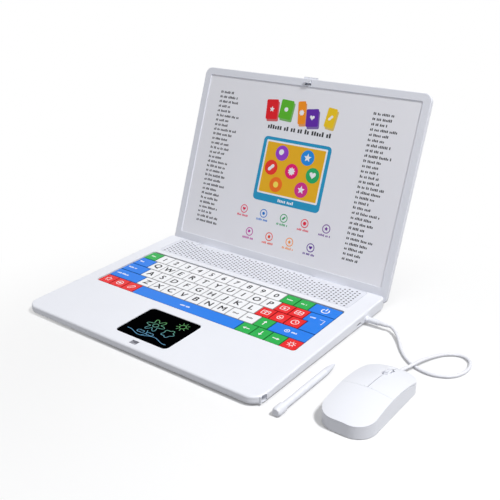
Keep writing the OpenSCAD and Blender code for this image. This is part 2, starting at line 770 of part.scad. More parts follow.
module print_panel() color([0.85, 0.85, 0.88]) lid_frame() difference() {
  lid_prism(panel_w + 2 * panel_lap - gap, panel_len + 2 * panel_lap - gap, panel_round,
    lid_off + panel_sink, panel_t);
  translate([-hook_room - cut, lid_off, lid_top - bezel_top + 0.2])
    cube([2 * hook_room + 2 * cut, 2 * bezel_t, bezel_top]);
}

module panel_backing() color([0.9, 0.9, 0.9]) lid_frame() difference() {
  lid_prism(panel_w + 2 * panel_lap - 1, panel_len + 2 * panel_lap - 1, panel_round,
    lid_off + panel_sink + panel_t, cover_y - lid_off - panel_sink - panel_t + 0.6);
  translate([-tab_w, lid_off, lid_top - bezel_top - latch_len])
    cube([2 * tab_w, 4 * bezel_t, 2 * latch_len]);
}

module lid_back_cover() color(shell_white) lid_frame() difference() {
  union() {
    difference() {
      lid_slab(cover_y, cover_t, lid_round);
      translate([0, cover_y + cover_t - cover_wall, lid_mid]) rotate([90, 0, 0])
        linear_extrude(cover_t) outline(base_w - 2 * cover_wall, lid_len - 2 * cover_wall,
          lid_corner - cover_wall, lid_corner - cover_wall);
    }
    // guide ribs of the latch slider
    for (s = [-1, 1]) translate([s * (tab_w / 2 + 1.2) - 0.6, cover_y, lid_top - latch_len - 4])
      cube([1.2, cover_t - cover_wall / 2, latch_len + 2]);
  }
  // mouth for the latch tab
  translate([-tab_w / 2 - gap, cover_y - cut, lid_top - 2 * cover_wall])
    cube([tab_w + 2 * gap, 1.9 + 2 * gap + cut, 4 * cover_wall]);
}

// Sliding latch: the tab above the lid, the plate inside it and the hook through the window
module latch_slider() color(lid_grey) lid_frame() {
  plate_y = cover_y + gap;
  plate_t = 1.9;
  union() {
    translate([-tab_w / 2, plate_y, lid_top - latch_len]) cube([tab_w, plate_t, latch_len + tab_h]);
    translate([-hook_w / 2, lid_off - hook_out, hook_top - hook_len])
      cube([hook_w, plate_y + plate_t / 2 - lid_off + hook_out, hook_len]);
    translate([-hook_w / 2, lid_off - hook_out, hook_top - hook_len])
      cube([hook_w, hook_out - lid_gap - lip_t - 0.1, hook_len + nose]);
  }
}

// ==========================================================================================
// Mouse, drawn with its cable end towards +Y
// ==========================================================================================
mouse_rear = 18;                       // corner radius at the palm end
mouse_front = 18;                      // corner radius at the button end
dome_long = 143;                       // radius of the back's long curve
dome_cross = 100;                      // radius of the back's cross curve
mouse_skin = 1.8;
mouse_foot = 0.8;
mouse_foot_y = mouse_len / 2 - 15.5;
mouse_screw_y = 21.5 - mouse_len / 2;
button_y = -7;                         // where the buttons start
seam = 0.15;                           // parting line between the mouse's cover and buttons
// height of the mouse's back on its middle line
function back_z(y) = mouse_h - dome_long + sqrt(dome_long * dome_long - (y - crest_y) * (y - crest_y));

module mouse_prism(inset) translate([0, 0, mouse_foot])
  linear_extrude(2 * mouse_h)
    outline(mouse_w - 2 * inset, mouse_len - 2 * inset, mouse_rear - inset, mouse_front - inset);

// Everything below the curved back, which is lowered by drop
module below_back(drop) translate([0, crest_y, mouse_h - dome_long - drop]) rotate([0, 90, 0])
  rotate_extrude($fn = 240) intersection() {
    translate([dome_long - dome_cross, 0]) circle(dome_cross, $fn = 240);
    translate([dome_long - 2 * mouse_h, -mouse_w]) square([3 * mouse_h, 2 * mouse_w]);
  }

module at_button_pivot(turn) translate([0, button_y, mouse_h - mouse_skin])
  rotate([-turn, 0, 0]) translate([0, -button_y, mouse_skin - mouse_h]) children();

wheel_y = mouse_len / 2 - 20.5;
wheel_proud = 1.8;                     // how far the wheel stands out of the back
wheel_z = back_z(wheel_y) + wheel_proud - wheel_d / 2;
slot_half = wheel_w / 2 + 0.8;
slot_len_m = wheel_d + 2.8;
slit = 0.8;

module back_skin() intersection() {
  mouse_prism(0);
  difference() {
    below_back(0);
    below_back(mouse_skin);
  }
}

// Opening for the wheel and the slit between the buttons
module wheel_slot() {
  translate([0, wheel_y, 0]) linear_extrude(2 * mouse_h) rotate(90)
    oblong(slot_len_m, 2 * slot_half);
  translate([-slit / 2, button_y - 2, 0]) cube([slit, mouse_len, 2 * mouse_h]);
}

module mouse_base() color(shell_white) mouse_frame() {
  difference() {
    intersection() {
      mouse_prism(0);
      below_back(mouse_skin + 0.15);
      at_button_pivot(button_travel) below_back(mouse_skin + 0.25);
    }
    difference() {
      intersection() {
        translate([0, 0, mouse_skin]) mouse_prism(mouse_skin);
        translate([-mouse_w, -mouse_len, 0]) cube([2 * mouse_w, 2 * mouse_len, 2 * mouse_h]);
      }
      // rear screw post and the bearings of the wheel
      translate([0, mouse_screw_y, 0]) rod(6, mouse_h);
      for (s = [-1, 1]) translate([s * (wheel_w / 2 + 3.4) - 1, wheel_y - 3, 0])
        cube([2, 6, wheel_z + 2.4]);
    }
    for (s = [-1, 1]) translate([s * (wheel_w / 2 + 3.4), wheel_y, wheel_z])
      bar_x(2 + 2 * bore_gap, 4);
    translate([0, mouse_screw_y, 0]) {
      rod(5.4, 3);
      rod(screw_d + gap, mouse_h);
    }
    // mouth of the cable
    translate([0, mouse_len / 2, mouse_cable_z]) rotate([90, 0, 0])
      cylinder(d = relief_d + 2 * bore_gap, h = 2 * (relief_in + gap), center = true);
  }
}

module mouse_cover() color(shell_white) mouse_frame() difference() {
  intersection() {
    back_skin();
    translate([-mouse_w, -mouse_len, 0]) cube([2 * mouse_w, mouse_len + button_y - seam, 2 * mouse_h]);
  }
}

module mouse_button(side) mouse_frame() difference() {
  intersection() {
    back_skin();
    translate([side > 0 ? 0 : -mouse_w, button_y, 0]) cube([mouse_w, mouse_len, 2 * mouse_h]);
  }
  wheel_slot();
}
module mouse_left_button() color(shell_white) mouse_button(-1);
module mouse_right_button() color(shell_white) mouse_button(1);

module mouse_wheel() color([0.8, 0.81, 0.83]) mouse_frame() translate([0, wheel_y, wheel_z])
  rotate([0, 90, 0]) difference() {
    rotate_extrude() difference() {
      translate([0, -wheel_w / 2]) square([wheel_d / 2, wheel_w]);
      for (s = [-1, 1]) translate([wheel_d / 2, s * wheel_w / 2]) circle(1.2, $fn = 24);
    }
    for (i = [0:11]) rotate(i * 30) translate([wheel_d / 2 + 0.2, 0, -wheel_w])
      cylinder(d = 1.4, h = 2 * wheel_w, $fn = 16);
    cylinder(d = 2 + 2 * bore_gap, h = 2 * wheel_w, center = true);
  }

module wheel_axle() color(steel) mouse_frame() translate([0, wheel_y, wheel_z])
  bar_x(2, wheel_w + 2 * 4.4);

module mouse_board() color(board_green) mouse_frame() {
  translate([-16, -24, mouse_foot + 2 * mouse_skin + 0.6]) cube([32, 30, board_t]);
  for (s = [-1, 1]) translate([s * 12, -10, mouse_foot + mouse_skin])
    rod(4, mouse_skin + 0.6 + board_t / 2);
}

module mouse_feet() color([0.3, 0.3, 0.32]) mouse_frame() for (s = [-1, 1])
  translate([0, s * mouse_foot_y, 0]) linear_extrude(mouse_foot) oblong(20, 7);

module mouse_screw() color(steel) mouse_frame() translate([0, mouse_screw_y, mouse_foot + 0.3]) {
  rod(4.6, 1.4);
  rod(screw_d, 10);
}

mouse_cable_z = 4.5;
mouse_relief = 8;
relief_d = 4.4;
relief_in = 3.4;                        // length of the strain relief inside the mouse
module mouse_strain_relief() color(key_white) mouse_frame()
  translate([0, mouse_len / 2 - relief_in, mouse_cable_z]) rotate([-90, 0, 0]) {
    rod(relief_d, relief_in + 2);
    translate([0, 0, relief_in + 2])
      cylinder(d1 = relief_d, d2 = cable_d + 0.6, h = mouse_relief - 2);
  }

// ==========================================================================================
// Cable, plug and stylus
// ==========================================================================================
plug_x = base_w / 2 + gap;
relief_x = plug_x + collar_t + plug_len;

module plug_body() color(key_white) base_frame() translate([plug_x, jack_y, jack_z])
  rotate([0, 90, 0]) {
    rod(collar_d, collar_t);
    rod(plug_d, collar_t + plug_len);
  }

module plug_pin() color(steel) base_frame()
  translate([plug_x - jack_len + 0.5, jack_y, jack_z]) rotate([0, 90, 0]) {
    translate([0, 0, 1]) rod(jack_d, jack_len - 1.5);
    cylinder(d1 = jack_d - 1.6, d2 = jack_d, h = 1);
  }

module plug_strain_relief() color(key_white) base_frame()
  translate([relief_x, jack_y, jack_z]) rotate([0, 90, 0]) difference() {
    cylinder(d1 = plug_d - 1, d2 = cable_d + 0.6, h = relief_len);
    for (i = [0:3]) translate([0, 0, 1.4 + 2.2 * i]) rotate_extrude()
      translate([plug_d / 2 - 0.75 - 0.12 * i, 0]) square([plug_d, 0.9]);
  }

// Route of the cable from the plug to the mouse, from the base's middle on the table
route = [
  [relief_x + relief_len, jack_y, jack_z], [176.8, 74.4, 6], [180.8, 72.6, 5.3],
  [185.3, 69, 4.6], [189.6, 64.2, 3.8], [195, 57, 2.9], [200.5, 49, 2.2], [206.3, 41.6, 1.8],
  [213.5, 34.2, 1.7], [222.8, 27.5, 1.7], [233.5, 23.3, 1.7], [244.5, 22.5, 1.7],
  [255, 26.4, 1.7], [260, 30.6, 1.7], [263.6, 35.5, 1.7], [265.7, 41.2, 1.7],
  [266.8, 47.5, 1.7], [266.7, 54.2, 1.7], [265.1, 60.2, 1.7], [262.2, 65, 1.7],
  [258.2, 68, 1.7], [253.6, 69.3, 1.7], [248.6, 68.4, 1.8], [243.6, 65.3, 2],
  [239.2, 61, 2.3], [235.6, 55.2, 2.7], [232.6, 48.5, 3.4], [229, 36.5, 4.8],
  [226.6, 25.5, 5.5], [224.2, 17.5, 5.1], [222.2, 13, 4.7],
  [mouse_x, mouse_y + mouse_len / 2 + mouse_relief, mouse_cable_z]
];

function unit(v) = v / norm(v);
function heading(p, i) = let (n = len(p) - 1)
  i == 0 ? [1, 0, 0] : i == n ? [0, -1, 0] : unit(p[i + 1] - p[i - 1]);
function ring(p, i, d, sides) = let (t = heading(p, i), a = unit(cross(t, [0, 0, 1])),
  b = cross(a, t)) [for (k = [0:sides - 1]) let (w = 360 * (k + 0.5) / sides)
    p[i] + (a * cos(w) + b * sin(w)) * d / 2 / cos(180 / sides)];

module tube(p, d, sides = 8) {
  n = len(p);
  points = [for (i = [0:n - 1]) each ring(p, i, d, sides)];
  wall_faces = [for (i = [0:n - 2], k = [0:sides - 1]) let (a = i * sides + k,
    b = i * sides + (k + 1) % sides) each [[a, b, b + sides], [a, b + sides, a + sides]]];
  caps = [[for (k = [0:sides - 1]) sides - 1 - k],
    [for (k = [0:sides - 1]) (n - 1) * sides + k]];
  polyhedron(points, concat(wall_faces, caps));
}

module mouse_cable() color(key_white) base_frame() tube(route, cable_d);

// The stylus lies on the table beside the base, its point away from the player
tip_len = 18;
tip_curve = (pow(tip_len, 2) + pow(stylus_d / 2 - 0.5, 2)) / (stylus_d - 1);  // ends 0.5 mm thick
head_len = 11;
head_w = 8.6;
module stylus() color(shell_white) base_frame()
  translate([stylus_x, -base_d / 2 + 1.5, head_w / 2]) rotate([-90, 0, 0]) {
    rotate_extrude() intersection() {
      union() {
        translate([0, head_w / 3]) circle(d = head_w);
        translate([0, head_w / 3]) square([head_w / 2, head_len - head_w / 3]);
      }
      square([head_w, head_len]);
    }
    rod(stylus_d, stylus_len - tip_len);
  }

module stylus_tip() color(lid_grey) base_frame()
  translate([stylus_x, -base_d / 2 + 1.5 + stylus_len - tip_len, head_w / 2])
    rotate([-90, 0, 0]) rotate_extrude() intersection() {
      translate([stylus_d / 2 - tip_curve, 0]) circle(tip_curve, $fn = 180);
      square([stylus_d, tip_len]);
    }

// ==========================================================================================
bottom_case();
top_case();
speaker_grille();
key_guide();
key_membrane();
main_board();
speakers();
battery_pack();
rubber_feet();
case_screws();
drawing_pad();
pad_board();
jack_socket();
charging_socket();
hinge_pins();
friction_washers();
esc_key();
number_keys();
page_keys();
power_key();
tab_key();
top_letter_keys();
upper_game_keys();
enter_key();
caps_key();
home_letter_keys();
story_keys();
shift_key();
bottom_letter_keys();
up_key();
volume_key();
song_keys();
space_key();
left_key();
down_key();
right_key();
melody_key();
lid_bezel();
print_panel();
panel_backing();
lid_back_cover();
latch_slider();
mouse_base();
mouse_cover();
mouse_left_button();
mouse_right_button();
mouse_wheel();
wheel_axle();
mouse_board();
mouse_feet();
mouse_screw();
mouse_strain_relief();
mouse_cable();
plug_body();
plug_strain_relief();
plug_pin();
stylus();
stylus_tip();
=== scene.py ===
"""Toy laptop computer with a wired mouse and a stylus: finishes, printed marks, cable and stage.

Every size is in millimetres in the code and in metres in the meshes.
"""
import json

import bpy
import numpy as np
from mathutils import Matrix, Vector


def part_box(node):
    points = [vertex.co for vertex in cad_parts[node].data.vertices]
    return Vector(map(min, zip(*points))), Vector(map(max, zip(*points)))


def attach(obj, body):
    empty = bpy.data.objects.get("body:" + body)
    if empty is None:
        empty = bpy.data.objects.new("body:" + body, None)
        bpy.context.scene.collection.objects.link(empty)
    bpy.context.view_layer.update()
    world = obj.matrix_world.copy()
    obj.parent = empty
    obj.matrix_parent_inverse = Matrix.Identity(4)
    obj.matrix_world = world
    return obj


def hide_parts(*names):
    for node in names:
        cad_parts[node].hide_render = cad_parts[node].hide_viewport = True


bl_info = {
    "name": "Toy Laptop Set",
    "version": (1, 0, 0),
    "blender": (4, 5, 0),
    "location": "View3D > Sidebar > Toy Laptop",
    "description": "Finishes, key legends, printed sheet, doodle, cable and stage of a toy laptop",
    "category": "Object",
}

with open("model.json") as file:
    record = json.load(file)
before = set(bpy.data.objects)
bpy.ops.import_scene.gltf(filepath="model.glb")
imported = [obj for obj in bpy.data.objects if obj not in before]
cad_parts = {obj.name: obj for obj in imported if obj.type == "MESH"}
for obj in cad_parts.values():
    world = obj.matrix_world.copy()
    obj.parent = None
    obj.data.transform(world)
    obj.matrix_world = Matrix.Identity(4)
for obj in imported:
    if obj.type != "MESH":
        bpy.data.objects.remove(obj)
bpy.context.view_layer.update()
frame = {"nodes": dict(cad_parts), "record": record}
MM = 0.001
CASE_LOW, CASE_HIGH = (np.array(corner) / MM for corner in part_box("bottom_case"))
BASE_X = (CASE_LOW[0] + CASE_HIGH[0]) / 2
FRONT_Y = CASE_LOW[1]

# Sizes shared with the solids
BASE_W, BASE_D, DECK_H, DECK_TILT = 300.0, 228.0, 10.0, 1.4
KEY_SIDE, KEY_STRIP, KEY_SINK, PITCH_Y, ROW_UNITS = 18.6, 9.0, 0.6, 18.4, 14.85
GRILLE_D, GRILLE_BACK, GRILLE_SIDE, GRILLE_MARGIN = 41.7, 2.4, 19.5, 2.4
HOLE_X, HOLE_Y, HOLE_D = 4.45, 4.65, 2.3
HINGE_X, BARREL_W, BARREL_D = 81.0, 42.0, 10.0
SLOT_W, SLOT_FRONT, SLOT_LEN, SLOT_DEPTH = 8.6, 5.4, 6.2, 3.4
LID_LEAN, HINGE_Z, HINGE_INSET, PANEL_SINK = 19.5, 10.0, 3.5, 1.0
PAD_FRONT, PAD_BACK = 15.5, 13.5
KEYS_W = BASE_W - 2 * KEY_SIDE
PITCH_X = KEYS_W / ROW_UNITS
KEYS_FRONT = BASE_D / np.cos(np.radians(DECK_TILT)) - GRILLE_BACK - GRILLE_D - KEY_STRIP - 5 * PITCH_Y
PAD_D = KEYS_FRONT - PAD_FRONT - PAD_BACK
LID_OFF = ((BASE_D - HINGE_INSET) * np.tan(np.radians(DECK_TILT)) + DECK_H - HINGE_Z) \
    * np.cos(np.radians(DECK_TILT)) + 0.7


def srgb(red, green, blue):
    """Scene colour of a display colour given from 0 to 255."""
    c = np.array([red, green, blue]) / 255
    return tuple(np.where(c <= 0.04045, c / 12.92, ((c + 0.055) / 1.055) ** 2.4))


# ------------------------------------------------------------------------------------------
# Settings that a user may change
# ------------------------------------------------------------------------------------------
def colour_setting(name, text, rgb):
    return bpy.props.FloatVectorProperty(name=name, description=text, default=srgb(*rgb),
                                         subtype="COLOR", size=3, min=0, max=1)


def length_setting(name, text, millimetres):
    return bpy.props.FloatProperty(name=name, description=text, default=millimetres * MM,
                                   subtype="DISTANCE", unit="LENGTH", precision=5)


class ToyLaptopColours(bpy.types.PropertyGroup):
    """Colours of the mouldings, the keys and the printed sheet"""
    shell: colour_setting("Shell", "White moulding of the case, mouse and stylus", (240, 242, 249))
    # the shell's white a shade darker: painted shade of the grille's holes
    grille: colour_setting("Grille", "Perforated strip over the loudspeakers", (230, 232, 241))
    lid: colour_setting("Lid Frame", "Pale grey moulding round the printed sheet", (230, 232, 240))
    white: colour_setting("White Keys", "Letter and number keys", (248, 249, 252))
    blue: colour_setting("Blue Keys", "Wide command keys", (28, 128, 238))
    red: colour_setting("Red Keys", "Game and song keys", (236, 32, 36))
    green: colour_setting("Green Keys", "Arrow and page keys", (34, 176, 76))
    sheet: colour_setting("Printed Sheet", "Ground of the printed sheet", (238, 238, 244))
    legend: colour_setting("Legends", "Print on the white keys", (22, 22, 28))


class ToyLaptopSizes(bpy.types.PropertyGroup):
    """Sizes of what is printed and laid on the model"""
    cable: length_setting("Cable Diameter", "Thickness of the mouse cable", 3.2)
    letter: length_setting("Letter Height", "Height of a capital on a key", 8.2)
    digit: length_setting("Digit Height", "Height of a digit on a key", 7.4)
    ink: length_setting("Ink Thickness", "Thickness of one printed layer", 0.05)


class ToyLaptopLight(bpy.types.PropertyGroup):
    """Light of the studio"""
    sky: bpy.props.FloatProperty(name="Sky", description="Strength of the even light all round",
                                 default=0.24, min=0)
    key: bpy.props.FloatProperty(name="Key Light", description="Power of the lamp from the right",
                                 default=39.0, min=0, unit="POWER")
    fill: bpy.props.FloatProperty(name="Fill Light", description="Power of the broad lamp in front",
                                  default=9.0, min=0, unit="POWER")
    focal: bpy.props.FloatProperty(name="Focal Length", description="Lens of the camera",
                                   default=53.68, min=1, unit="CAMERA")


# ------------------------------------------------------------------------------------------
# Places: a point (u, v, h) of a surface, in millimetres, goes to the world
# ------------------------------------------------------------------------------------------
class Place:
    """A flat working plane: origin + u * across + v * along + h * out."""

    def __init__(self, origin, across, along):
        self.origin = np.array(origin, float)
        self.axes = np.array([across, along, np.cross(across, along)], float)

    def __call__(self, points):
        return (self.origin + np.asarray(points, float) @ self.axes) * MM


def deck_place():
    """Deck surface: u across from the middle, v back from the front edge."""
    a = np.radians(DECK_TILT)
    return Place((BASE_X, FRONT_Y, DECK_H), (1, 0, 0), (0, np.cos(a), np.sin(a)))


def sheet_place():
    """Face of the printed sheet: u across from the middle, v up from the hinge axis."""
    a = np.radians(LID_LEAN)
    up, out = np.array([0, np.sin(a), np.cos(a)]), np.array([0, -np.cos(a), np.sin(a)])
    axis = np.array([BASE_X, FRONT_Y + BASE_D - HINGE_INSET, HINGE_Z])
    return Place(axis - out * (LID_OFF + PANEL_SINK), (1, 0, 0), up)


def table_points(points):
    """Points given from the base's middle on the table, in millimetres, put in the world."""
    return (np.asarray(points, float) + (BASE_X, FRONT_Y + BASE_D / 2, 0)) * MM


# ------------------------------------------------------------------------------------------
# Surfaces
# ------------------------------------------------------------------------------------------
def loft(rings):
    """Closed skin over rings of points: rings has the shape (n, m, 3) and runs round each ring.

    Quads join ring i to ring i + 1, and a fan round its mean point closes each end.
    """
    n, m, _ = rings.shape
    i, k = np.meshgrid(np.arange(n - 1), np.arange(m), indexing="ij")
    a, b = i * m + k, i * m + (k + 1) % m
    quads = np.stack([a, b, b + m, a + m], -1).reshape(-1, 4)
    k = np.arange(m)
    first = np.stack([(k + 1) % m, k, np.full(m, n * m)], -1)
    last = np.stack([k, (k + 1) % m, np.full(m, n * m + 1 - (n - 1) * m)], -1) + (n - 1) * m
    points = np.concatenate([rings.reshape(-1, 3), [rings[0].mean(0), rings[-1].mean(0)]])
    return points, quads.tolist() + first.tolist() + last.tolist()


def smooth_path(points, steps=4):
    """Catmull-Rom curve through the points: each stretch is a cubic in t from 0 to 1."""
    p = np.asarray(points, float)
    p = np.concatenate([[2 * p[0] - p[1]], p, [2 * p[-1] - p[-2]]])
    t = np.linspace(0, 1, steps, endpoint=False)[None, :, None]
    a, b, c, d = (p[i:len(p) - 3 + i, None] for i in range(4))
    curve = 0.5 * (2 * b + (c - a) * t + (2 * a - 5 * b + 4 * c - d) * t ** 2
                   + (3 * b - a - 3 * c + d) * t ** 3)
    return np.concatenate([curve.reshape(-1, 3), p[-2:-1]])


def tube(path, radius, sides=16):
    """Round tube: ring i is path(i) + radius * (cos w * side + sin w * up), w round the ring."""
    path = np.asarray(path, float)
    ahead = np.gradient(path, axis=0)
    ahead /= np.linalg.norm(ahead, axis=1)[:, None]
    side = np.cross(ahead, (0, 0, 1))
    side /= np.linalg.norm(side, axis=1)[:, None]
    up = np.cross(side, ahead)
    w = np.linspace(0, 2 * np.pi, sides, endpoint=False)[None, :, None]
    r = np.broadcast_to(radius, len(path))[:, None, None]
    return loft(path[:, None] + r * (np.cos(w) * side[:, None] + np.sin(w) * up[:, None]))


def make_piece(name, points, faces, body, finish, smooth=True, ink=None):
    """One mesh object at the origin with its place in its mesh, riding on a body."""
    mesh = bpy.data.meshes.new(name)
    mesh.from_pydata(np.asarray(points).tolist(), [], faces)
    mesh.polygons.foreach_set("use_smooth", [smooth] * len(mesh.polygons))
    if ink is not None:
        layer = mesh.color_attributes.new("ink", "FLOAT_COLOR", "POINT")
        layer.data.foreach_set("color", np.concatenate([ink, np.ones((len(ink), 1))], 1).ravel())
    mesh.update()
    piece = bpy.data.objects.new(name, mesh)
    bpy.context.scene.collection.objects.link(piece)
    mesh.materials.append(finish)
    if body:
        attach(piece, body)
    return piece


# ------------------------------------------------------------------------------------------
# Finishes
# ------------------------------------------------------------------------------------------
class Flow:
    """A value that varies over a surface; arithmetic on it adds Math nodes."""

    def __init__(self, tree, socket):
        self.tree, self.socket = tree, socket

    def math(self, operation, *terms):
        node = self.tree.nodes.new("ShaderNodeMath")
        node.operation = operation
        for slot, term in zip(node.inputs, terms):
            if isinstance(term, Flow):
                self.tree.links.new(term.socket, slot)
            else:
                slot.default_value = term
        return Flow(self.tree, node.outputs[0])

    def __add__(self, other):
        return self.math("ADD", self, other)

    def __radd__(self, other):
        return self.math("ADD", other, self)

    def __sub__(self, other):
        return self.math("SUBTRACT", self, other)

    def __rsub__(self, other):
        return self.math("SUBTRACT", other, self)

    def __mul__(self, other):
        return self.math("MULTIPLY", self, other)

    def __rmul__(self, other):
        return self.math("MULTIPLY", other, self)


class Finish:
    """A material under construction; node() adds any node and returns one of its outputs."""

    def __init__(self, name):
        self.material = bpy.data.materials.new(name)
        self.material.use_nodes = True
        self.tree = self.material.node_tree
        self.tree.nodes.clear()

    def node(self, kind, settings=None, inputs=None, output=0):
        node = self.tree.nodes.new(kind)
        for key, value in (settings or {}).items():
            setattr(node, key, value)
        for key, value in (inputs or {}).items():
            if isinstance(value, Flow):
                self.tree.links.new(value.socket, node.inputs[key])
            else:
                node.inputs[key].default_value = value
        return Flow(self.tree, node.outputs[output])

    def surface(self, **inputs):
        shader = self.node("ShaderNodeBsdfPrincipled",
                           inputs={key.replace("_", " "): value for key, value in inputs.items()})
        self.node_output(shader)
        return self.material

    def node_output(self, shader):
        out = self.tree.nodes.new("ShaderNodeOutputMaterial")
        self.tree.links.new(shader.socket, out.inputs["Surface"])

    def place(self):
        return self.node("ShaderNodeTexCoord", output="Object")

    def noise(self, size, detail=2.0, roughness=0.5):
        """Soft noise whose blots are about size millimetres across, from 0 to 1."""
        return self.node("ShaderNodeTexNoise", inputs={
            "Vector": self.place(), "Scale": 1 / (size * MM), "Detail": detail,
            "Roughness": roughness}, output="Fac")

    def tint(self, rgb, amount, by):
        """The colour rgb, lightened and darkened by amount as by runs from 0 to 1."""
        dark = tuple(c * (1 - amount) for c in rgb) + (1,)
        light = tuple(min(1, c * (1 + amount)) for c in rgb) + (1,)
        return self.node("ShaderNodeMix", {"data_type": "RGBA"},
                         {"Factor": by, 6: dark, 7: light}, output=2)

    def sunk(self, start, end):
        """From 0 at start millimetres below the deck's surface to 1 at end millimetres."""
        a = np.radians(DECK_TILT)
        out = (0, -np.sin(a), np.cos(a))
        surface = float(np.dot((BASE_X, FRONT_Y, DECK_H), out)) * MM
        height = self.node("ShaderNodeVectorMath", {"operation": "DOT_PRODUCT"},
                           {0: self.place(), 1: out}, output="Value")
        return self.node("ShaderNodeMapRange", inputs={
            "Value": height, "From Min": surface - start * MM, "From Max": surface - end * MM})

    def bump(self, height, depth):
        """Normal of a relief of depth millimetres."""
        return self.node("ShaderNodeBump", inputs={
            "Height": height, "Distance": depth * MM, "Strength": 1.0})


def moulded(name, rgb, rough=0.42, grain=0.25, depth=0.012, spread=0.02, specular=0.45, flank_shade=None):
    """Satin moulding: faint spark grain in the relief, cloudy sheen, slight change of colour.

    A key's bevels and sides keep the last argument's share of the colour, as painted shade of the gaps.
    """
    f = Finish(name)
    cloud = f.noise(34, 3)
    fine = f.noise(grain, 2, 0.6)
    colour = f.tint(rgb, spread, cloud)
    # painted shade: a key's bevels and sides darken with depth below the deck's surface
    if flank_shade is not None:
        low = tuple(flank_shade * c for c in rgb) + (1,)
        colour = f.node("ShaderNodeMix", {"data_type": "RGBA"},
                        {"Factor": f.sunk(KEY_SINK + 0.05, KEY_SINK + 0.4), 6: colour, 7: low}, output=2)
    return f.surface(Base_Color=colour,
                     Roughness=rough - 0.05 + cloud * 0.1 + fine * 0.04,
                     Specular_IOR_Level=specular, Normal=f.bump(fine, depth))


def rubbery(name, rgb, rough=0.62):
    """Soft moulding with a dusty sheen."""
    f = Finish(name)
    cloud, fine = f.noise(6, 3), f.noise(0.35, 2, 0.6)
    return f.surface(Base_Color=f.tint(rgb, 0.06, cloud), Roughness=rough - 0.06 + cloud * 0.12,
                     Specular_IOR_Level=0.35, Normal=f.bump(fine, 0.02))


def plated(name, rgb, rough=0.3):
    """Bright plating with fine drawn lines along Z."""
    f = Finish(name)
    stretched = f.node("ShaderNodeMapping", inputs={"Vector": f.place(), "Scale": (1, 1, 0.06)})
    lines = f.node("ShaderNodeTexNoise", inputs={"Vector": stretched, "Scale": 4000, "Detail": 2.0},
                   output="Fac")
    return f.surface(Base_Color=f.tint(rgb, 0.06, lines), Metallic=1.0,
                     Roughness=rough - 0.08 + lines * 0.16, Normal=f.bump(lines, 0.004))


def board(name, rgb):
    """Solder mask with faint copper tracks under it."""
    f = Finish(name)
    tracks = f.node("ShaderNodeTexBrick", {"offset": 0.35}, {
        "Vector": f.place(), "Scale": 120.0, "Mortar Size": 0.03, "Mortar Smooth": 0.2}, output="Fac")
    fine = f.noise(2, 3)
    mask = f.tint(rgb, 0.25, tracks * 0.6 + fine * 0.4)
    return f.surface(Base_Color=mask, Roughness=0.3 + fine * 0.1, Normal=f.bump(tracks, 0.03))


def printed(name, rough=0.5):
    """Ink that carries its own colour in the mesh, with a slight screen-print tooth."""
    f = Finish(name)
    ink = f.node("ShaderNodeVertexColor", {"layer_name": "ink"})
    fine = f.noise(0.3, 2)
    return f.surface(Base_Color=ink, Roughness=rough - 0.04 + fine * 0.08, Specular_IOR_Level=0.4,
                     Normal=f.bump(fine, 0.006))


# ------------------------------------------------------------------------------------------
# Printed marks: flat closed prisms a few hundredths of a millimetre high
# ------------------------------------------------------------------------------------------
INK_ROOT = 0.02     # how far a mark reaches into what it is printed on


class Print:
    """Collects marks on one place and turns them into one mesh."""

    def __init__(self, place, layer):
        self.place, self.layer = place, layer
        self.points, self.faces, self.inks, self.count = [], [], [], 0

    def add(self, points, faces, ink):
        self.points.append(points)
        self.faces += [[i + self.count for i in face] for face in faces]
        self.inks.append(np.broadcast_to(np.asarray(ink, float), (len(points), 3)))
        self.count += len(points)

    def patch(self, outline, ink, level=0, base=0.0):
        """Prism over an outline that its own middle can see all of."""
        flat = np.asarray(outline, float)
        low = np.column_stack([flat, np.full(len(flat), base - INK_ROOT)])
        high = np.column_stack([flat, np.full(len(flat), base + self.layer * (level + 1))])
        self.add(*loft(np.stack([low, high])), ink)

    def stroke(self, path, width, ink, base=0.0, closed=False):
        """Flat ribbon: the path moved half its width to each side along its normal."""
        p = np.asarray(path, float)
        if closed:
            p = np.concatenate([p, p[:1]])
            ahead = np.roll(p[:-1], -1, 0) - np.roll(p[:-1], 1, 0)
            ahead = np.concatenate([ahead, ahead[:1]])
        else:
            ahead = np.gradient(p, axis=0)
        ahead /= np.linalg.norm(ahead, axis=1)[:, None]
        side = np.column_stack([-ahead[:, 1], ahead[:, 0]]) * width / 2
        h0, h1 = base - INK_ROOT, base + self.layer
        corner = [np.column_stack([p + s * side, np.full(len(p), h)])
                  for s, h in ((1, h0), (-1, h0), (-1, h1), (1, h1))]
        points, faces = loft(np.stack(corner, 1))
        self.add(points, faces, ink(points) if callable(ink) else ink)

    def glyph(self, text, middle, height, ink, base=0.0, bold=0.03):
        """A capital or digit of the built-in face, thickened by four copies a little apart."""
        points, faces = letter_shape(text)
        for across, along in ((-1, -0.5), (1, -0.5), (-1, 0.5), (1, 0.5)):
            shift = bold * height * np.array([across, along])
            self.add(points * (height, height, self.layer + INK_ROOT)
                     + (*(middle + shift), base - INK_ROOT), faces, ink)

    def words(self, left, middle, width, height, ink, level=0, base=0.0, seed=0):
        """A line of illegible text: short upright dashes in groups, from a seeded row."""
        row = np.random.default_rng(seed)
        x = left
        step = height * 0.62
        while x < left + width - step:
            for _ in range(int(row.integers(2, 7))):
                if x > left + width - step:
                    break
                tall = height * row.uniform(0.62, 1.0)
                self.patch(box_outline(x + step * 0.34, middle - (height - tall) / 2, step * 0.68,
                                       tall), ink, level, base)
                x += step
            x += step * 0.8

    def finish(self, name, body, material):
        return make_piece(name, self.place(np.concatenate(self.points)), self.faces, body, material,
                          smooth=False, ink=np.concatenate(self.inks))


LETTERS = {}


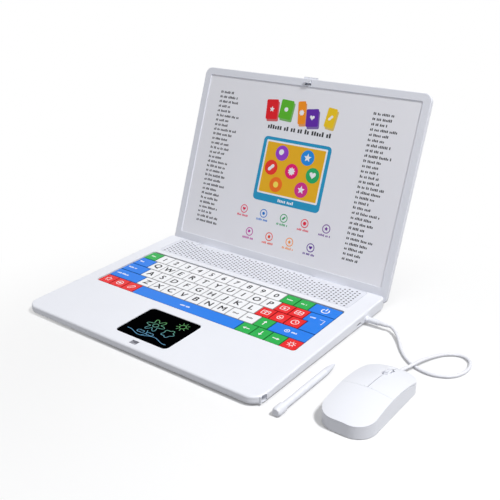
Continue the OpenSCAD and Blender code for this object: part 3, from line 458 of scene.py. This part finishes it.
def letter_shape(text):
    """Solid of one character, centred, with a capital one unit high and a depth from 0 to 1."""
    if text not in LETTERS:
        shapes = []
        for body in ("H", text):
            curve = bpy.data.curves.new("character", "FONT")
            curve.body, curve.resolution_u, curve.extrude = body, 3, 0.05
            made = bpy.data.objects.new("character", curve)
            mesh = bpy.data.meshes.new_from_object(made)
            points = np.empty(len(mesh.vertices) * 3)
            mesh.vertices.foreach_get("co", points)
            shapes.append((points.reshape(-1, 3), [list(p.vertices) for p in mesh.polygons]))
            bpy.data.objects.remove(made)
            bpy.data.curves.remove(curve)
            bpy.data.meshes.remove(mesh)
        cap = np.ptp(shapes[0][0][:, 1])
        points, faces = shapes[1]
        low, high = points.min(0), points.max(0)
        flat = (points - (low + high) / 2) / cap
        flat[:, 2] = (points[:, 2] - low[2]) / (high[2] - low[2])
        LETTERS[text] = (flat, faces)
    return LETTERS[text]


def box_outline(x, y, w, h, r=0.0, turn=0.0, steps=5):
    """Rectangle round (x, y), its corners quarter circles of radius r, turned by turn degrees."""
    if r <= 0:
        p = np.array([(w, h), (-w, h), (-w, -h), (w, -h)]) / 2
    else:
        w0, h0 = w / 2 - r, h / 2 - r
        a = np.radians(np.concatenate([np.linspace(q, q + 90, steps) for q in (0, 90, 180, 270)]))
        middle = np.repeat([(w0, h0), (-w0, h0), (-w0, -h0), (w0, -h0)], steps, axis=0)
        p = middle + r * np.column_stack([np.cos(a), np.sin(a)])
    c, s = np.cos(np.radians(turn)), np.sin(np.radians(turn))
    return p @ np.array([(c, s), (-s, c)]) + (x, y)


def polar_outline(x, y, radius, n=36, start=0.0):
    """Closed outline whose radius is a number, or a function of the angle in radians."""
    a = np.linspace(0, 2 * np.pi, n, endpoint=False) + start
    r = radius(a) if callable(radius) else np.full(n, float(radius))
    return np.column_stack([x + r * np.cos(a), y + r * np.sin(a)])


def star_outline(x, y, r, points=5, inner=0.45):
    a = np.linspace(0, 2 * np.pi, 2 * points, endpoint=False) + np.pi / 2
    return np.column_stack([np.cos(a), np.sin(a)]) * np.where(
        np.arange(2 * points) % 2, inner, 1.0)[:, None] * r + (x, y)


def heart_outline(x, y, r):
    """x = 16 sin^3 t, y = 13 cos t - 5 cos 2t - 2 cos 3t - cos 4t, scaled to r."""
    t = np.linspace(0, 2 * np.pi, 36, endpoint=False)[::-1]
    p = np.column_stack([16 * np.sin(t) ** 3, 13 * np.cos(t) - 5 * np.cos(2 * t)
                         - 2 * np.cos(3 * t) - np.cos(4 * t)])
    return p * r / 17 + (x, y + r * 0.1)


def leaf_outline(x, y, r, turn=0.0):
    return polar_outline(x, y, lambda a: r * (0.35 + 0.65 * np.abs(np.cos(a - turn)) ** 3))


# ------------------------------------------------------------------------------------------
# Stage
# ------------------------------------------------------------------------------------------
LAMPS = {"key": ((1300, -60, 1950), 400), "fill": ((100, -1250, 2050), 1600)}    # place and width
LAMPS_AIM = (0, 0, 60)
CAMERA_PLACE, CAMERA_AZIMUTH, CAMERA_RISE = (456.3, -534.9, 361.4), 36.68, 22.60
FLOOR_HALF, FLOOR_FIELDS = 4000, 8
SHADOW_MIDDLE, SHADOW_NEAR, SHADOW_FAR = (130, -110, 0), 0.14, 0.42     # where shadows fade out
UNSEEN_PAPER, SEEN_PAPER = (0.4, 0.4, 0.41, 1), (0.97, 0.97, 0.97, 1)


class TOYLAPTOP_OT_stage(bpy.types.Operator):
    """Pale floor, even sky, a lamp from the right, a broad fill lamp and the camera"""
    bl_idname = "toylaptop.stage"
    bl_label = "Stage"

    def execute(self, context):
        light = context.scene.toy_laptop_light
        n = FLOOR_FIELDS + 1
        side = np.linspace(-FLOOR_HALF, FLOOR_HALF, n)
        x, y = np.meshgrid(side, side, indexing="ij")
        i, k = np.meshgrid(np.arange(n - 1), np.arange(n - 1), indexing="ij")
        a = (i * n + k).ravel()
        floor = make_piece("floor", np.stack([x, y, 0 * x], -1).reshape(-1, 3) * MM,
                           np.stack([a, a + n, a + n + 1, a + 1], -1).tolist(), None,
                           self.floor_finish(), smooth=False)
        self.sky(context, light.sky)
        for name, (place, width) in LAMPS.items():
            self.lamp(context, name + "_lamp", place, width, getattr(light, name))
        self.camera(context, light.focal)
        context.scene.view_settings.view_transform = "Standard"
        return {"FINISHED"}

    def sky(self, context, even):
        """World that lights with the strength even and shows as plain white."""
        world = bpy.data.worlds.new("sky")
        context.scene.world = world
        world.use_nodes = True
        tree = world.node_tree
        tree.nodes.clear()
        path = tree.nodes.new("ShaderNodeLightPath")
        seen = Flow(tree, path.outputs["Is Camera Ray"])
        for ray in ("Is Glossy Ray", "Is Transmission Ray"):
            seen = seen.math("MAXIMUM", seen, Flow(tree, path.outputs[ray]))
        mix = tree.nodes.new("ShaderNodeMixShader")
        shades = []
        for colour, strength in (((0.97, 0.98, 1.0, 1), even), ((1, 1, 1, 1), 1.0)):
            shade = tree.nodes.new("ShaderNodeBackground")
            shade.inputs["Color"].default_value = colour
            shade.inputs["Strength"].default_value = strength
            shades.append(shade)
        out = tree.nodes.new("ShaderNodeOutputWorld")
        tree.links.new(seen.socket, mix.inputs[0])
        for i, shade in enumerate(shades):
            tree.links.new(shade.outputs[0], mix.inputs[1 + i])
        tree.links.new(mix.outputs[0], out.inputs["Surface"])

    def floor_finish(self):
        """Matt paper: white to the camera, lifted to pure white further out, so only shadows show."""
        f = Finish("floor_paper")
        seen = f.node("ShaderNodeLightPath", output="Is Camera Ray")
        for ray in ("Is Glossy Ray", "Is Transmission Ray"):
            seen = seen.math("MAXIMUM", seen, f.node("ShaderNodeLightPath", output=ray))
        middle = tuple(table_points(SHADOW_MIDDLE))
        away = f.node("ShaderNodeVectorMath", {"operation": "DISTANCE"}, {0: f.place(), 1: middle},
                      output="Value")
        fade = f.node("ShaderNodeMapRange", {"interpolation_type": "SMOOTHSTEP"}, {
            "Value": away, "From Min": SHADOW_NEAR, "From Max": SHADOW_FAR,
            "To Min": 0.1, "To Max": 1.0})
        tone = f.node("ShaderNodeMix", {"data_type": "RGBA"}, {
            "Factor": seen, 6: UNSEEN_PAPER, 7: SEEN_PAPER}, output=2)
        paper = f.node("ShaderNodeBsdfDiffuse", inputs={"Color": tone})
        white = f.node("ShaderNodeEmission", inputs={"Color": (1, 1, 1, 1), "Strength": 1.0})
        f.node_output(f.node("ShaderNodeMixShader", inputs={0: seen * fade, 1: paper, 2: white}))
        return f.material

    def lamp(self, context, name, place, width, power):
        data = bpy.data.lights.new(name, "AREA")
        data.shape, data.size, data.energy = "DISK", width * MM, power
        lamp = bpy.data.objects.new(name, data)
        out = table_points(place) - table_points(LAMPS_AIM)
        lamp.matrix_world = Matrix(facing(table_points(place), out).tolist())
        context.scene.collection.objects.link(lamp)

    def camera(self, context, focal):
        data = bpy.data.cameras.new("camera")
        data.lens, data.sensor_width = focal, 36
        data.clip_start = 0.01
        camera = bpy.data.objects.new("camera", data)
        az, el = np.radians(CAMERA_AZIMUTH), np.radians(CAMERA_RISE)
        back = (np.sin(az) * np.cos(el), -np.cos(az) * np.cos(el), np.sin(el))
        place = table_points(CAMERA_PLACE)
        camera.matrix_world = Matrix(facing(place, back).tolist())
        context.scene.collection.objects.link(camera)
        context.scene.camera = camera


def facing(place, back):
    """Matrix of a lamp or camera at place whose back is turned along back, with X level."""
    back = np.asarray(back, float) / np.linalg.norm(back)
    right = np.cross((0, 0, 1), back)
    right /= np.linalg.norm(right)
    m = np.eye(4)
    m[:3, 0], m[:3, 1], m[:3, 2], m[:3, 3] = right, np.cross(back, right), back, place
    return m


# ------------------------------------------------------------------------------------------
# Cable
# ------------------------------------------------------------------------------------------
ROUTE = [
    (173.8, 74, 6.2), (176.8, 74.4, 6), (180.8, 72.6, 5.3), (185.3, 69, 4.6), (189.6, 64.2, 3.8),
    (195, 57, 2.9), (200.5, 49, 2.2), (206.3, 41.6, 1.8), (213.5, 34.2, 1.7), (222.8, 27.5, 1.7),
    (233.5, 23.3, 1.7), (244.5, 22.5, 1.7), (255, 26.4, 1.7), (260, 30.6, 1.7),
    (263.6, 35.5, 1.7), (265.7, 41.2, 1.7), (266.8, 47.5, 1.7), (266.7, 54.2, 1.7),
    (265.1, 60.2, 1.7), (262.2, 65, 1.7), (258.2, 68, 1.7), (253.6, 69.3, 1.7),
    (248.6, 68.4, 1.8), (243.6, 65.3, 2), (239.2, 61, 2.3), (235.6, 55.2, 2.7),
    (232.6, 48.5, 3.4), (229, 36.5, 4.8), (226.6, 25.5, 5.5), (224.2, 17.5, 5.1),
    (222.2, 13, 4.7), (221, 9.5, 4.5),
]


class TOYLAPTOP_OT_cable(bpy.types.Operator):
    """Thin mouse cable in one loose loop from the mouse to its plug"""
    bl_idname = "toylaptop.cable"
    bl_label = "Mouse Cable"

    def execute(self, context):
        path = smooth_path(table_points(ROUTE)[::-1], 6)
        points, faces = tube(path, context.scene.toy_laptop_sizes.cable / 2, 16)
        finish = rubbery("cable_sheath", srgb(240, 241, 247), 0.5)
        cable = make_piece("mouse_cable_sheath", points, faces, "base", finish)
        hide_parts("mouse_cable")
        return {"FINISHED"}


# ------------------------------------------------------------------------------------------
# Finishes of the solids
# ------------------------------------------------------------------------------------------
class TOYLAPTOP_OT_finishes(bpy.types.Operator):
    """Moulded, rubber, plated and printed finishes on every solid"""
    bl_idname = "toylaptop.finishes"
    bl_label = "Finishes"

    def execute(self, context):
        c = context.scene.toy_laptop_colours
        # keys keep 0.3 of their colour on bevels and sides: painted shade of the gaps between them
        key = dict(rough=0.36, grain=0.4, depth=0.006, specular=0.22, flank_shade=0.3)
        finishes = {
            "white_shell": moulded("shell_white", c.shell, 0.36),
            "grey_shell": moulded("lid_grey", c.lid, 0.38),
            "white_key": moulded("key_white", c.white, **key),
            "blue_key": moulded("key_blue", c.blue, **key),
            "red_key": moulded("key_red", c.red, **key),
            "green_key": moulded("key_green", c.green, **key),
            "dark_plastic": moulded("frame_charcoal", srgb(20, 20, 23), 0.5, specular=0.15),
            "pad_black": moulded("pad_film", srgb(2, 2, 3), 0.5, depth=0.002, specular=0.0),
            "board": board("solder_mask", srgb(24, 92, 52)),
            "steel": plated("steel_plate", (0.62, 0.62, 0.64)),
            "soft_grey": rubbery("foot_rubber", srgb(96, 97, 102)),
            "soft_white": rubbery("soft_white", srgb(238, 239, 245), 0.5),
            "membrane": rubbery("dome_silicone", srgb(214, 216, 222), 0.45),
            "printed_sheet": moulded("sheet_ground", c.sheet, 0.32, grain=0.5, depth=0.003,
                                     spread=0.012, specular=0.5),
            "backing_board": moulded("greyboard", srgb(205, 202, 196), 0.8, depth=0.03),
            "cell_wrap": moulded("cell_wrap", srgb(150, 162, 180), 0.3),
            "brass_washer": plated("spring_brass", (0.75, 0.58, 0.28)),
        }
        # the grille: the shell's white a shade darker, as painted shade of its holes
        grille = moulded("grille_shell", c.grille, 0.4)
        for part in frame["record"]["subparts"]:
            node = frame["nodes"][part["node"]]
            finish = grille if part["node"] == "speaker_grille" else finishes[part["material_slot"]]
            for place in node.material_slots:
                place.material = finish
            if not node.material_slots:
                node.data.materials.append(finish)
        return {"FINISHED"}


# ------------------------------------------------------------------------------------------
# Painted shade in the holes of the speaker grille
# ------------------------------------------------------------------------------------------
# dark grey, a little below the deck's surface: painted shade inside the grille's holes
HOLE_SHADE_INK, HOLE_SHADE_SINK = srgb(62, 63, 70), 0.18


class TOYLAPTOP_OT_hole_shade(bpy.types.Operator):
    """Dark discs sunk in every hole of the speaker grille: painted shade of the holes"""
    bl_idname = "toylaptop.cloth"
    bl_label = "Dust Cloth"

    def execute(self, context):
        p = Print(deck_place(), context.scene.toy_laptop_sizes.ink / MM)
        middle = BASE_D / np.cos(np.radians(DECK_TILT)) - GRILLE_BACK - GRILLE_D / 2
        columns = int((BASE_W / 2 - GRILLE_SIDE - GRILLE_MARGIN) // HOLE_X)
        under_barrel = GRILLE_D / 2 + GRILLE_BACK - HINGE_INSET - BARREL_D / 2 - HOLE_D
        for i in range(-columns, columns + 1):
            for y in np.arange(GRILLE_MARGIN - GRILLE_D / 2 + (i % 2) * HOLE_Y / 2,
                               GRILLE_D / 2 - GRILLE_MARGIN + 0.01, HOLE_Y):
                x = i * HOLE_X
                if abs(abs(x) - HINGE_X) >= BARREL_W / 2 + HOLE_D or y <= under_barrel:
                    # one dark disc in each hole, painted shade
                    p.patch(polar_outline(x, middle + y, HOLE_D / 2 - 0.04, 16), HOLE_SHADE_INK,
                            base=-HOLE_SHADE_SINK)
        p.finish("grille_cloth", "base", printed("cloth_weave", 0.9))
        return {"FINISHED"}


# ------------------------------------------------------------------------------------------
# Painted shade in the latch's slot
# ------------------------------------------------------------------------------------------
SLOT_SHADE_INSET = 0.07     # from the slot's walls to the middle of the painted shade films


class TOYLAPTOP_OT_slot_shade(bpy.types.Operator):
    """Painted shade in the hook's slot: thin grey films on sides, back and floor; front open for the
    nose
    """
    bl_idname = "toylaptop.lining"
    bl_label = "Slot Lining"

    def execute(self, context):
        front, back = SLOT_FRONT + SLOT_SHADE_INSET, SLOT_FRONT + SLOT_LEN - SLOT_SHADE_INSET
        x = SLOT_W / 2 - SLOT_SHADE_INSET
        # mid grey: painted shade of the slot's walls and floor
        grey = srgb(176, 177, 184)
        p = Print(deck_place(), SLOT_DEPTH - 0.3)
        walls = [(-x, front), (-x, back), (x, back), (x, front)]
        p.stroke(walls, 0.08, grey, base=0.1 - SLOT_DEPTH)
        p.layer = context.scene.toy_laptop_sizes.ink / MM
        p.patch(walls, grey, base=0.03 - SLOT_DEPTH)
        p.finish("latch_slot_lining", "base", printed("slot_lining", 0.6))
        return {"FINISHED"}


# ------------------------------------------------------------------------------------------
# Key legends
# ------------------------------------------------------------------------------------------
SHIFT_U, CAPS_U, TAB_U = 2.35, 1.7, 1.3
WHITE_INK = srgb(250, 250, 252)


def key_middle(left, row, units=1.0):
    """Middle of a key's field on the deck: its left edge in pitches and its row from the back."""
    return np.array([(left + units / 2) * PITCH_X - KEYS_W / 2,
                     KEYS_FRONT + (4.5 - row) * PITCH_Y])


def arrow(art, x, y, size, turn, ink, base):
    """A shaft and a three-cornered head, pointing along turn degrees."""
    c, s = np.cos(np.radians(turn)), np.sin(np.radians(turn))
    ahead, side = np.array([c, s]), np.array([-s, c])
    m = np.array([x, y])
    art.stroke([m - ahead * size / 2, m + ahead * size * 0.2], size * 0.14, ink, base=base)
    art.patch([m + ahead * size / 2, m + ahead * size * 0.12 + side * size * 0.26,
               m + ahead * size * 0.12 - side * size * 0.26], ink, base=base)


class TOYLAPTOP_OT_legends(bpy.types.Operator):
    """Letters, digits and small signs printed on the key tops"""
    bl_idname = "toylaptop.legends"
    bl_label = "Key Legends"

    def execute(self, context):
        sizes, dark = context.scene.toy_laptop_sizes, tuple(context.scene.toy_laptop_colours.legend)
        layer, cap, low = sizes.ink / MM, sizes.letter / MM, -KEY_SINK
        ink = printed("legend_ink")

        def art():
            return Print(deck_place(), layer)

        rows = {"number_keys": ("1234567890", 1, 0, sizes.digit / MM),
                "top_letter_keys": ("QWERTYUIOP", TAB_U, 1, cap),
                "home_letter_keys": ("ASDFGHJKL", CAPS_U, 2, cap),
                "bottom_letter_keys": ("ZXCVBNM", SHIFT_U, 3, cap)}
        for node, (text, left, row, height) in rows.items():
            p = art()
            for i, letter in enumerate(text):
                p.glyph(letter, key_middle(left + i, row), height, dark, low)
            if node == "bottom_letter_keys":
                for i in (7, 8):
                    x, y = key_middle(left + i, row)
                    p.words(x - 4, y, 8.4, 2.4, dark, base=low, seed=i)
            p.finish(node + "_legends", node, ink)

        for node, left, row, units, wide in (
                ("esc_key", 0, 0, 1, 7), ("tab_key", 0, 1, TAB_U, 8), ("caps_key", 0, 2, CAPS_U, 13),
                ("shift_key", 0, 3, SHIFT_U, 18), ("space_key", 3, 4, ROW_UNITS - 7, 14)):
            p = art()
            x, y = key_middle(left, row, units)
            start = x - wide / 2 if node in ("esc_key", "space_key") \
                else x - units * PITCH_X / 2 + 4.2
            p.words(start, y, wide, 2.6, WHITE_INK, base=low, seed=len(node))
            p.finish(node + "_legend", node, ink)

        p = art()
        for i in (0, 1):
            x, y = key_middle(11 + i, 0)
            p.words(x - 4, y, 8, 2.4, WHITE_INK, base=low, seed=20 + i)
        p.finish("page_keys_legends", "page_keys", ink)

        p = art()
        x, y = key_middle(13, 0, ROW_UNITS - 13)
        t = np.radians(np.linspace(125, 415, 30))
        p.stroke(np.column_stack([x + 4 * np.cos(t), y - 0.4 + 4 * np.sin(t)]), 1.3, WHITE_INK,
                 base=low)
        p.stroke([(x, y), (x, y + 5.2)], 1.3, WHITE_INK, base=low)
        p.finish("power_key_legend", "power_key", ink)

        p = art()
        x, y = key_middle(TAB_U + 12, 1, ROW_UNITS - TAB_U - 12)
        p.words(x - 9, y, 9, 2.6, WHITE_INK, base=low, seed=31)
        p.stroke([(x + 2, y), (x + 8, y), (x + 8, y - 8)], 0.7, WHITE_INK, base=low)
        arrow(p, x + 8, y - 7, 4, -90, WHITE_INK, low)
        p.finish("enter_key_legend", "enter_key", ink)

        p = art()
        x, y = key_middle(SHIFT_U + 10, 3, ROW_UNITS - SHIFT_U - 10)
        p.stroke(polar_outline(x - 4, y, 2.5), 0.8, WHITE_INK, base=low, closed=True)
        p.patch(polar_outline(x - 4, y, 0.9, 16), WHITE_INK, base=low)
        p.words(x + 1.2, y, 8, 2.6, WHITE_INK, base=low, seed=33)
        p.finish("volume_key_legend", "volume_key", ink)

        for node, left, row, turn in (
                ("up_key", SHIFT_U + 9, 3, 90), ("left_key", ROW_UNITS - 4, 4, 180),
                ("down_key", ROW_UNITS - 3, 4, -90), ("right_key", ROW_UNITS - 2, 4, 0)):
            p = art()
            arrow(p, *key_middle(left, row), 8, turn, WHITE_INK, low)
            p.finish(node + "_legend", node, ink)

        signs = {
            "upper_game_keys": [(TAB_U + 10, 1, "frame"), (TAB_U + 11, 1, "window")],
            "story_keys": [(CAPS_U + 9, 2, "book"), (CAPS_U + 10, 2, "drop"), (CAPS_U + 11, 2, "clock")],
            "song_keys": [(0, 4, "star"), (1, 4, "ball"), (2, 4, "leaf")],
            "melody_key": [(ROW_UNITS - 1, 4, "sun")],
        }
        for node, row_signs in signs.items():
            p = art()
            for left, row, kind in row_signs:
                self.sign(p, kind, *key_middle(left, row), low)
            p.finish(node + "_legends", node, ink)
        return {"FINISHED"}

    def sign(self, p, kind, x, y, low):
        """A small white outline sign, about 9 mm across."""
        line = dict(width=0.75, ink=WHITE_INK, base=low)
        if kind == "frame":
            p.stroke(box_outline(x, y, 8.4, 7, 1.4), closed=True, **line)
            p.patch(star_outline(x, y, 2.2), WHITE_INK, base=low)
        elif kind == "window":
            p.stroke(box_outline(x, y, 8.4, 6.6, 1), closed=True, **line)
            p.stroke([(x, y - 3.3), (x, y + 3.3)], **line)
            p.stroke([(x - 4.2, y), (x + 4.2, y)], **line)
        elif kind == "book":
            for s in (-1, 1):
                p.stroke(box_outline(x + s * 2.3, y, 4.2, 6.8, 0.8), closed=True, **line)
                p.stroke([(x + s * 1.3, y + 1.2), (x + s * 3.4, y + 1.2)], **line)
        elif kind == "drop":
            p.stroke(polar_outline(x, y - 0.6, lambda a: 3 + 1.6 * np.clip(np.sin(a), 0, 1) ** 6),
                     closed=True, **line)
            p.patch(heart_outline(x, y - 0.4, 1.5), WHITE_INK, base=low)
        elif kind == "clock":
            p.stroke(polar_outline(x, y, 4), closed=True, **line)
            p.stroke([(x, y + 2.6), (x, y), (x + 2, y - 0.8)], **line)
        elif kind == "star":
            p.stroke(star_outline(x, y, 4.4, 5, 0.5), closed=True, **line)
        elif kind == "ball":
            p.stroke(polar_outline(x, y, 3.8), closed=True, **line)
            p.stroke([(x - 3.6, y), (x + 3.6, y)], **line)
            p.patch(polar_outline(x, y, 1.5, 16), WHITE_INK, base=low)
        elif kind == "leaf":
            p.stroke(leaf_outline(x, y, 4.4, 0.9), closed=True, **line)
        else:
            p.stroke(polar_outline(x, y, 2.3), closed=True, **line)
            for a in np.linspace(0, 2 * np.pi, 8, endpoint=False):
                d = np.array([np.cos(a), np.sin(a)])
                p.stroke([(x, y) + d * 3.2, (x, y) + d * 4.6], **line)


# ------------------------------------------------------------------------------------------
# Printed sheet
# ------------------------------------------------------------------------------------------
class TOYLAPTOP_OT_sheet(bpy.types.Operator):
    """Play screen printed on the sheet in the lid: blocks, badges, signs and lines of text"""
    bl_idname = "toylaptop.sheet"
    bl_label = "Printed Sheet"

    def execute(self, context):
        p = Print(sheet_place(), context.scene.toy_laptop_sizes.ink / MM)
        sheet, dark = srgb(244, 244, 248), srgb(24, 24, 30)

        # banner of tilted blocks on their own shadows, each with a simple sign
        banner = [(-42, 181, 16, 23, 6, (226, 6, 26), "star"),
                  (-22.5, 183, 17, 22, -3, (84, 178, 28), "disc"),
                  (-1, 182, 10, 26, 10, (248, 146, 16), "sun"),
                  (14, 178, 16, 20, 8, (92, 26, 164), "heart"),
                  (37.5, 181, 12, 22, -6, (240, 200, 20), "leaf")]
        for x, y, w, h, turn, rgb, sign in banner:
            ink = np.array(srgb(*rgb))
            p.patch(box_outline(x + 2, y - 2.4, w, h, 1.6, turn), ink * 0.7 + 0.12)
            p.patch(box_outline(x, y, w, h, 1.6, turn), ink, 1)
            self.small_sign(p, sign, x, y, 3.6, sheet, 2)
        p.words(-43, 161.5, 87, 5.4, dark, seed=3)

        # play window: blue frame, pale rim, gold field and round badges
        p.patch(box_outline(1.5, 112, 92, 75.5, 5), srgb(24, 150, 196))
        p.patch(box_outline(1.5, 114.5, 83, 63, 1.5), sheet, 1)
        p.patch(box_outline(1.5, 114.5, 79, 59, 1), srgb(236, 178, 22), 2)
        badges = [(-16, 133, (150, 60, 204), "moon"), (19, 133, (24, 140, 226), "star"),
                  (-27, 114.5, (236, 48, 36), "leaf"), (1.5, 114.5, (230, 0, 112), "sun"),
                  (30, 114.5, (24, 168, 96), "heart"), (-16, 96, (242, 112, 20), "disc"),
                  (19, 96, (210, 44, 140), "star")]
        for x, y, rgb, sign in badges:
            p.patch(polar_outline(x, y, 8.8), srgb(*rgb), 3)
            self.small_sign(p, sign, x, y, 5, sheet if sign != "disc" else srgb(250, 226, 90), 4)
        p.words(-9, 78.6, 22, 3.6, sheet, 1, seed=5)

        # two rows of ringed signs with a caption under each
        tones = [(226, 0, 80), (0, 120, 210), (0, 160, 90), (226, 20, 60), (110, 40, 150),
                 (190, 40, 160), (230, 70, 40), (250, 150, 20), (90, 30, 150)]
        kinds = ("heart", "disc", "leaf", "sun", "star", "moon", "disc", "star", "heart")
        spots = [(-53 + 28.6 * i, 60) for i in range(5)] + [(-39 + 28.6 * i, 35) for i in range(4)]
        for i, ((x, y), rgb, sign) in enumerate(zip(spots, tones, kinds)):
            p.stroke(polar_outline(x, y, 4.6), 1.0, srgb(*rgb), closed=True)
            self.small_sign(p, sign, x, y, 2.7, srgb(*rgb), 0)
            p.words(x - 8.5, y - 7.6, 17, 2.6, srgb(*rgb), seed=40 + i)

        # columns of small text
        top, pitch, count = 193, 5.7, 29
        lengths = np.random.default_rng(11).uniform(14, 30, (2, 30))
        for side, x in enumerate((-121, 88)):
            for line in range(count):
                y = top - pitch * line
                p.words(x, y, 4.4, 3.0, dark, seed=500 + line)
                p.words(x + 5.2, y, lengths[side, line], 3.0, dark, seed=100 * (side + 1) + line)
        p.finish("sheet_print", "lid", printed("sheet_ink", 0.42))
        return {"FINISHED"}

    def small_sign(self, p, kind, x, y, r, ink, level):
        """A plain filled sign of radius r."""
        outlines = {
            "star": star_outline(x, y, r),
            "heart": heart_outline(x, y, r * 0.9),
            "disc": polar_outline(x, y, r * 0.7, 28),
            "leaf": leaf_outline(x, y, r, 0.8),
            "moon": polar_outline(x, y, lambda a: r * (0.62 + 0.3 * np.cos(a - 2.4))),
            "sun": star_outline(x, y, r, 9, 0.68),
        }
        p.patch(outlines[kind], ink, level)


# ------------------------------------------------------------------------------------------
# Drawing on the pad
# ------------------------------------------------------------------------------------------
class TOYLAPTOP_OT_doodle(bpy.types.Operator):
    """Glowing line drawing on the black pad: a flower, hills and a sun, green above, blue below"""
    bl_idname = "toylaptop.doodle"
    bl_label = "Pad Doodle"

    def execute(self, context):
        p = Print(deck_place(), context.scene.toy_laptop_sizes.ink / MM)
        my = PAD_FRONT + PAD_D / 2
        green, blue = np.array(srgb(92, 168, 92)), np.array(srgb(82, 146, 184))

        def ink(points):
            mix = np.clip((points[:, 1] - my + 14) / 26, 0, 1)[:, None]
            return blue * (1 - mix) + green * mix

        line = dict(width=0.7, ink=ink, base=-KEY_SINK)
        a = np.linspace(0, 2 * np.pi, 72, endpoint=False)
        petals = 8.2 + 3.0 * np.cos(6 * a)
        p.stroke(np.column_stack([-6 + petals * np.cos(a), my + 2 + petals * np.sin(a)]), closed=True,
                 **line)
        p.stroke(polar_outline(-6, my + 2, 3.0), closed=True, **line)
        t = np.linspace(0, 1, 24)
        p.stroke(np.column_stack([-6 + 2.5 * np.sin(3 * t), my - 9.4 - 10 * t]), **line)
        for s in (-1, 1):
            leaf = polar_outline(-5 + s * 6, my - 14, lambda a: 1.6 + 2.6 * np.cos(a) ** 2)
            p.stroke(leaf, closed=True, **line)
        sun = np.array([18, my + 15])
        p.stroke(polar_outline(*sun, 3.4), closed=True, **line)
        for w in np.linspace(0, 2 * np.pi, 9, endpoint=False):
            d = np.array([np.cos(w), np.sin(w)])
            p.stroke([sun + d * 4.6, sun + d * 7.2], **line)
        x = np.linspace(-27, 27, 60)
        p.stroke(np.column_stack([x, my - 18 + 2.2 * np.sin(x / 5.2)]), **line)
        cloud = polar_outline(15, my - 3, lambda a: 6 + 1.1 * np.cos(5 * a))
        p.stroke(cloud, closed=True, **line)
        p.finish("pad_doodle", "base", printed("doodle_ink", 0.4))
        return {"FINISHED"}


class TOYLAPTOP_PT_panel(bpy.types.Panel):
    """Lists the pieces of the toy laptop"""
    bl_idname = "TOYLAPTOP_PT_panel"
    bl_label = "Toy Laptop"
    bl_space_type = "VIEW_3D"
    bl_region_type = "UI"
    bl_category = "Toy Laptop"

    def draw(self, context):
        for group in ("colours", "sizes", "light"):
            settings = getattr(context.scene, "toy_laptop_" + group)
            box = self.layout.box()
            for name in settings.__annotations__:
                box.prop(settings, name)
        for operator in OPERATORS:
            self.layout.operator(operator.bl_idname)


GROUPS = {"colours": ToyLaptopColours, "sizes": ToyLaptopSizes, "light": ToyLaptopLight}
OPERATORS = (TOYLAPTOP_OT_stage, TOYLAPTOP_OT_cable, TOYLAPTOP_OT_finishes, TOYLAPTOP_OT_hole_shade,
             TOYLAPTOP_OT_slot_shade, TOYLAPTOP_OT_legends, TOYLAPTOP_OT_sheet, TOYLAPTOP_OT_doodle)


def register():
    for cls in (*GROUPS.values(), *OPERATORS, TOYLAPTOP_PT_panel):
        bpy.utils.register_class(cls)
    for name, cls in GROUPS.items():
        setattr(bpy.types.Scene, "toy_laptop_" + name, bpy.props.PointerProperty(type=cls))


def unregister():
    for name in GROUPS:
        delattr(bpy.types.Scene, "toy_laptop_" + name)
    for cls in (TOYLAPTOP_PT_panel, *reversed(OPERATORS), *reversed(list(GROUPS.values()))):
        bpy.utils.unregister_class(cls)


def main():
    """Builds the whole set."""
    register()
    bpy.ops.toylaptop.stage()
    bpy.ops.toylaptop.cable()
    bpy.ops.toylaptop.finishes()
    bpy.ops.toylaptop.cloth()
    bpy.ops.toylaptop.lining()
    bpy.ops.toylaptop.legends()
    bpy.ops.toylaptop.sheet()
    bpy.ops.toylaptop.doodle()


if __name__ == "__main__":
    main()
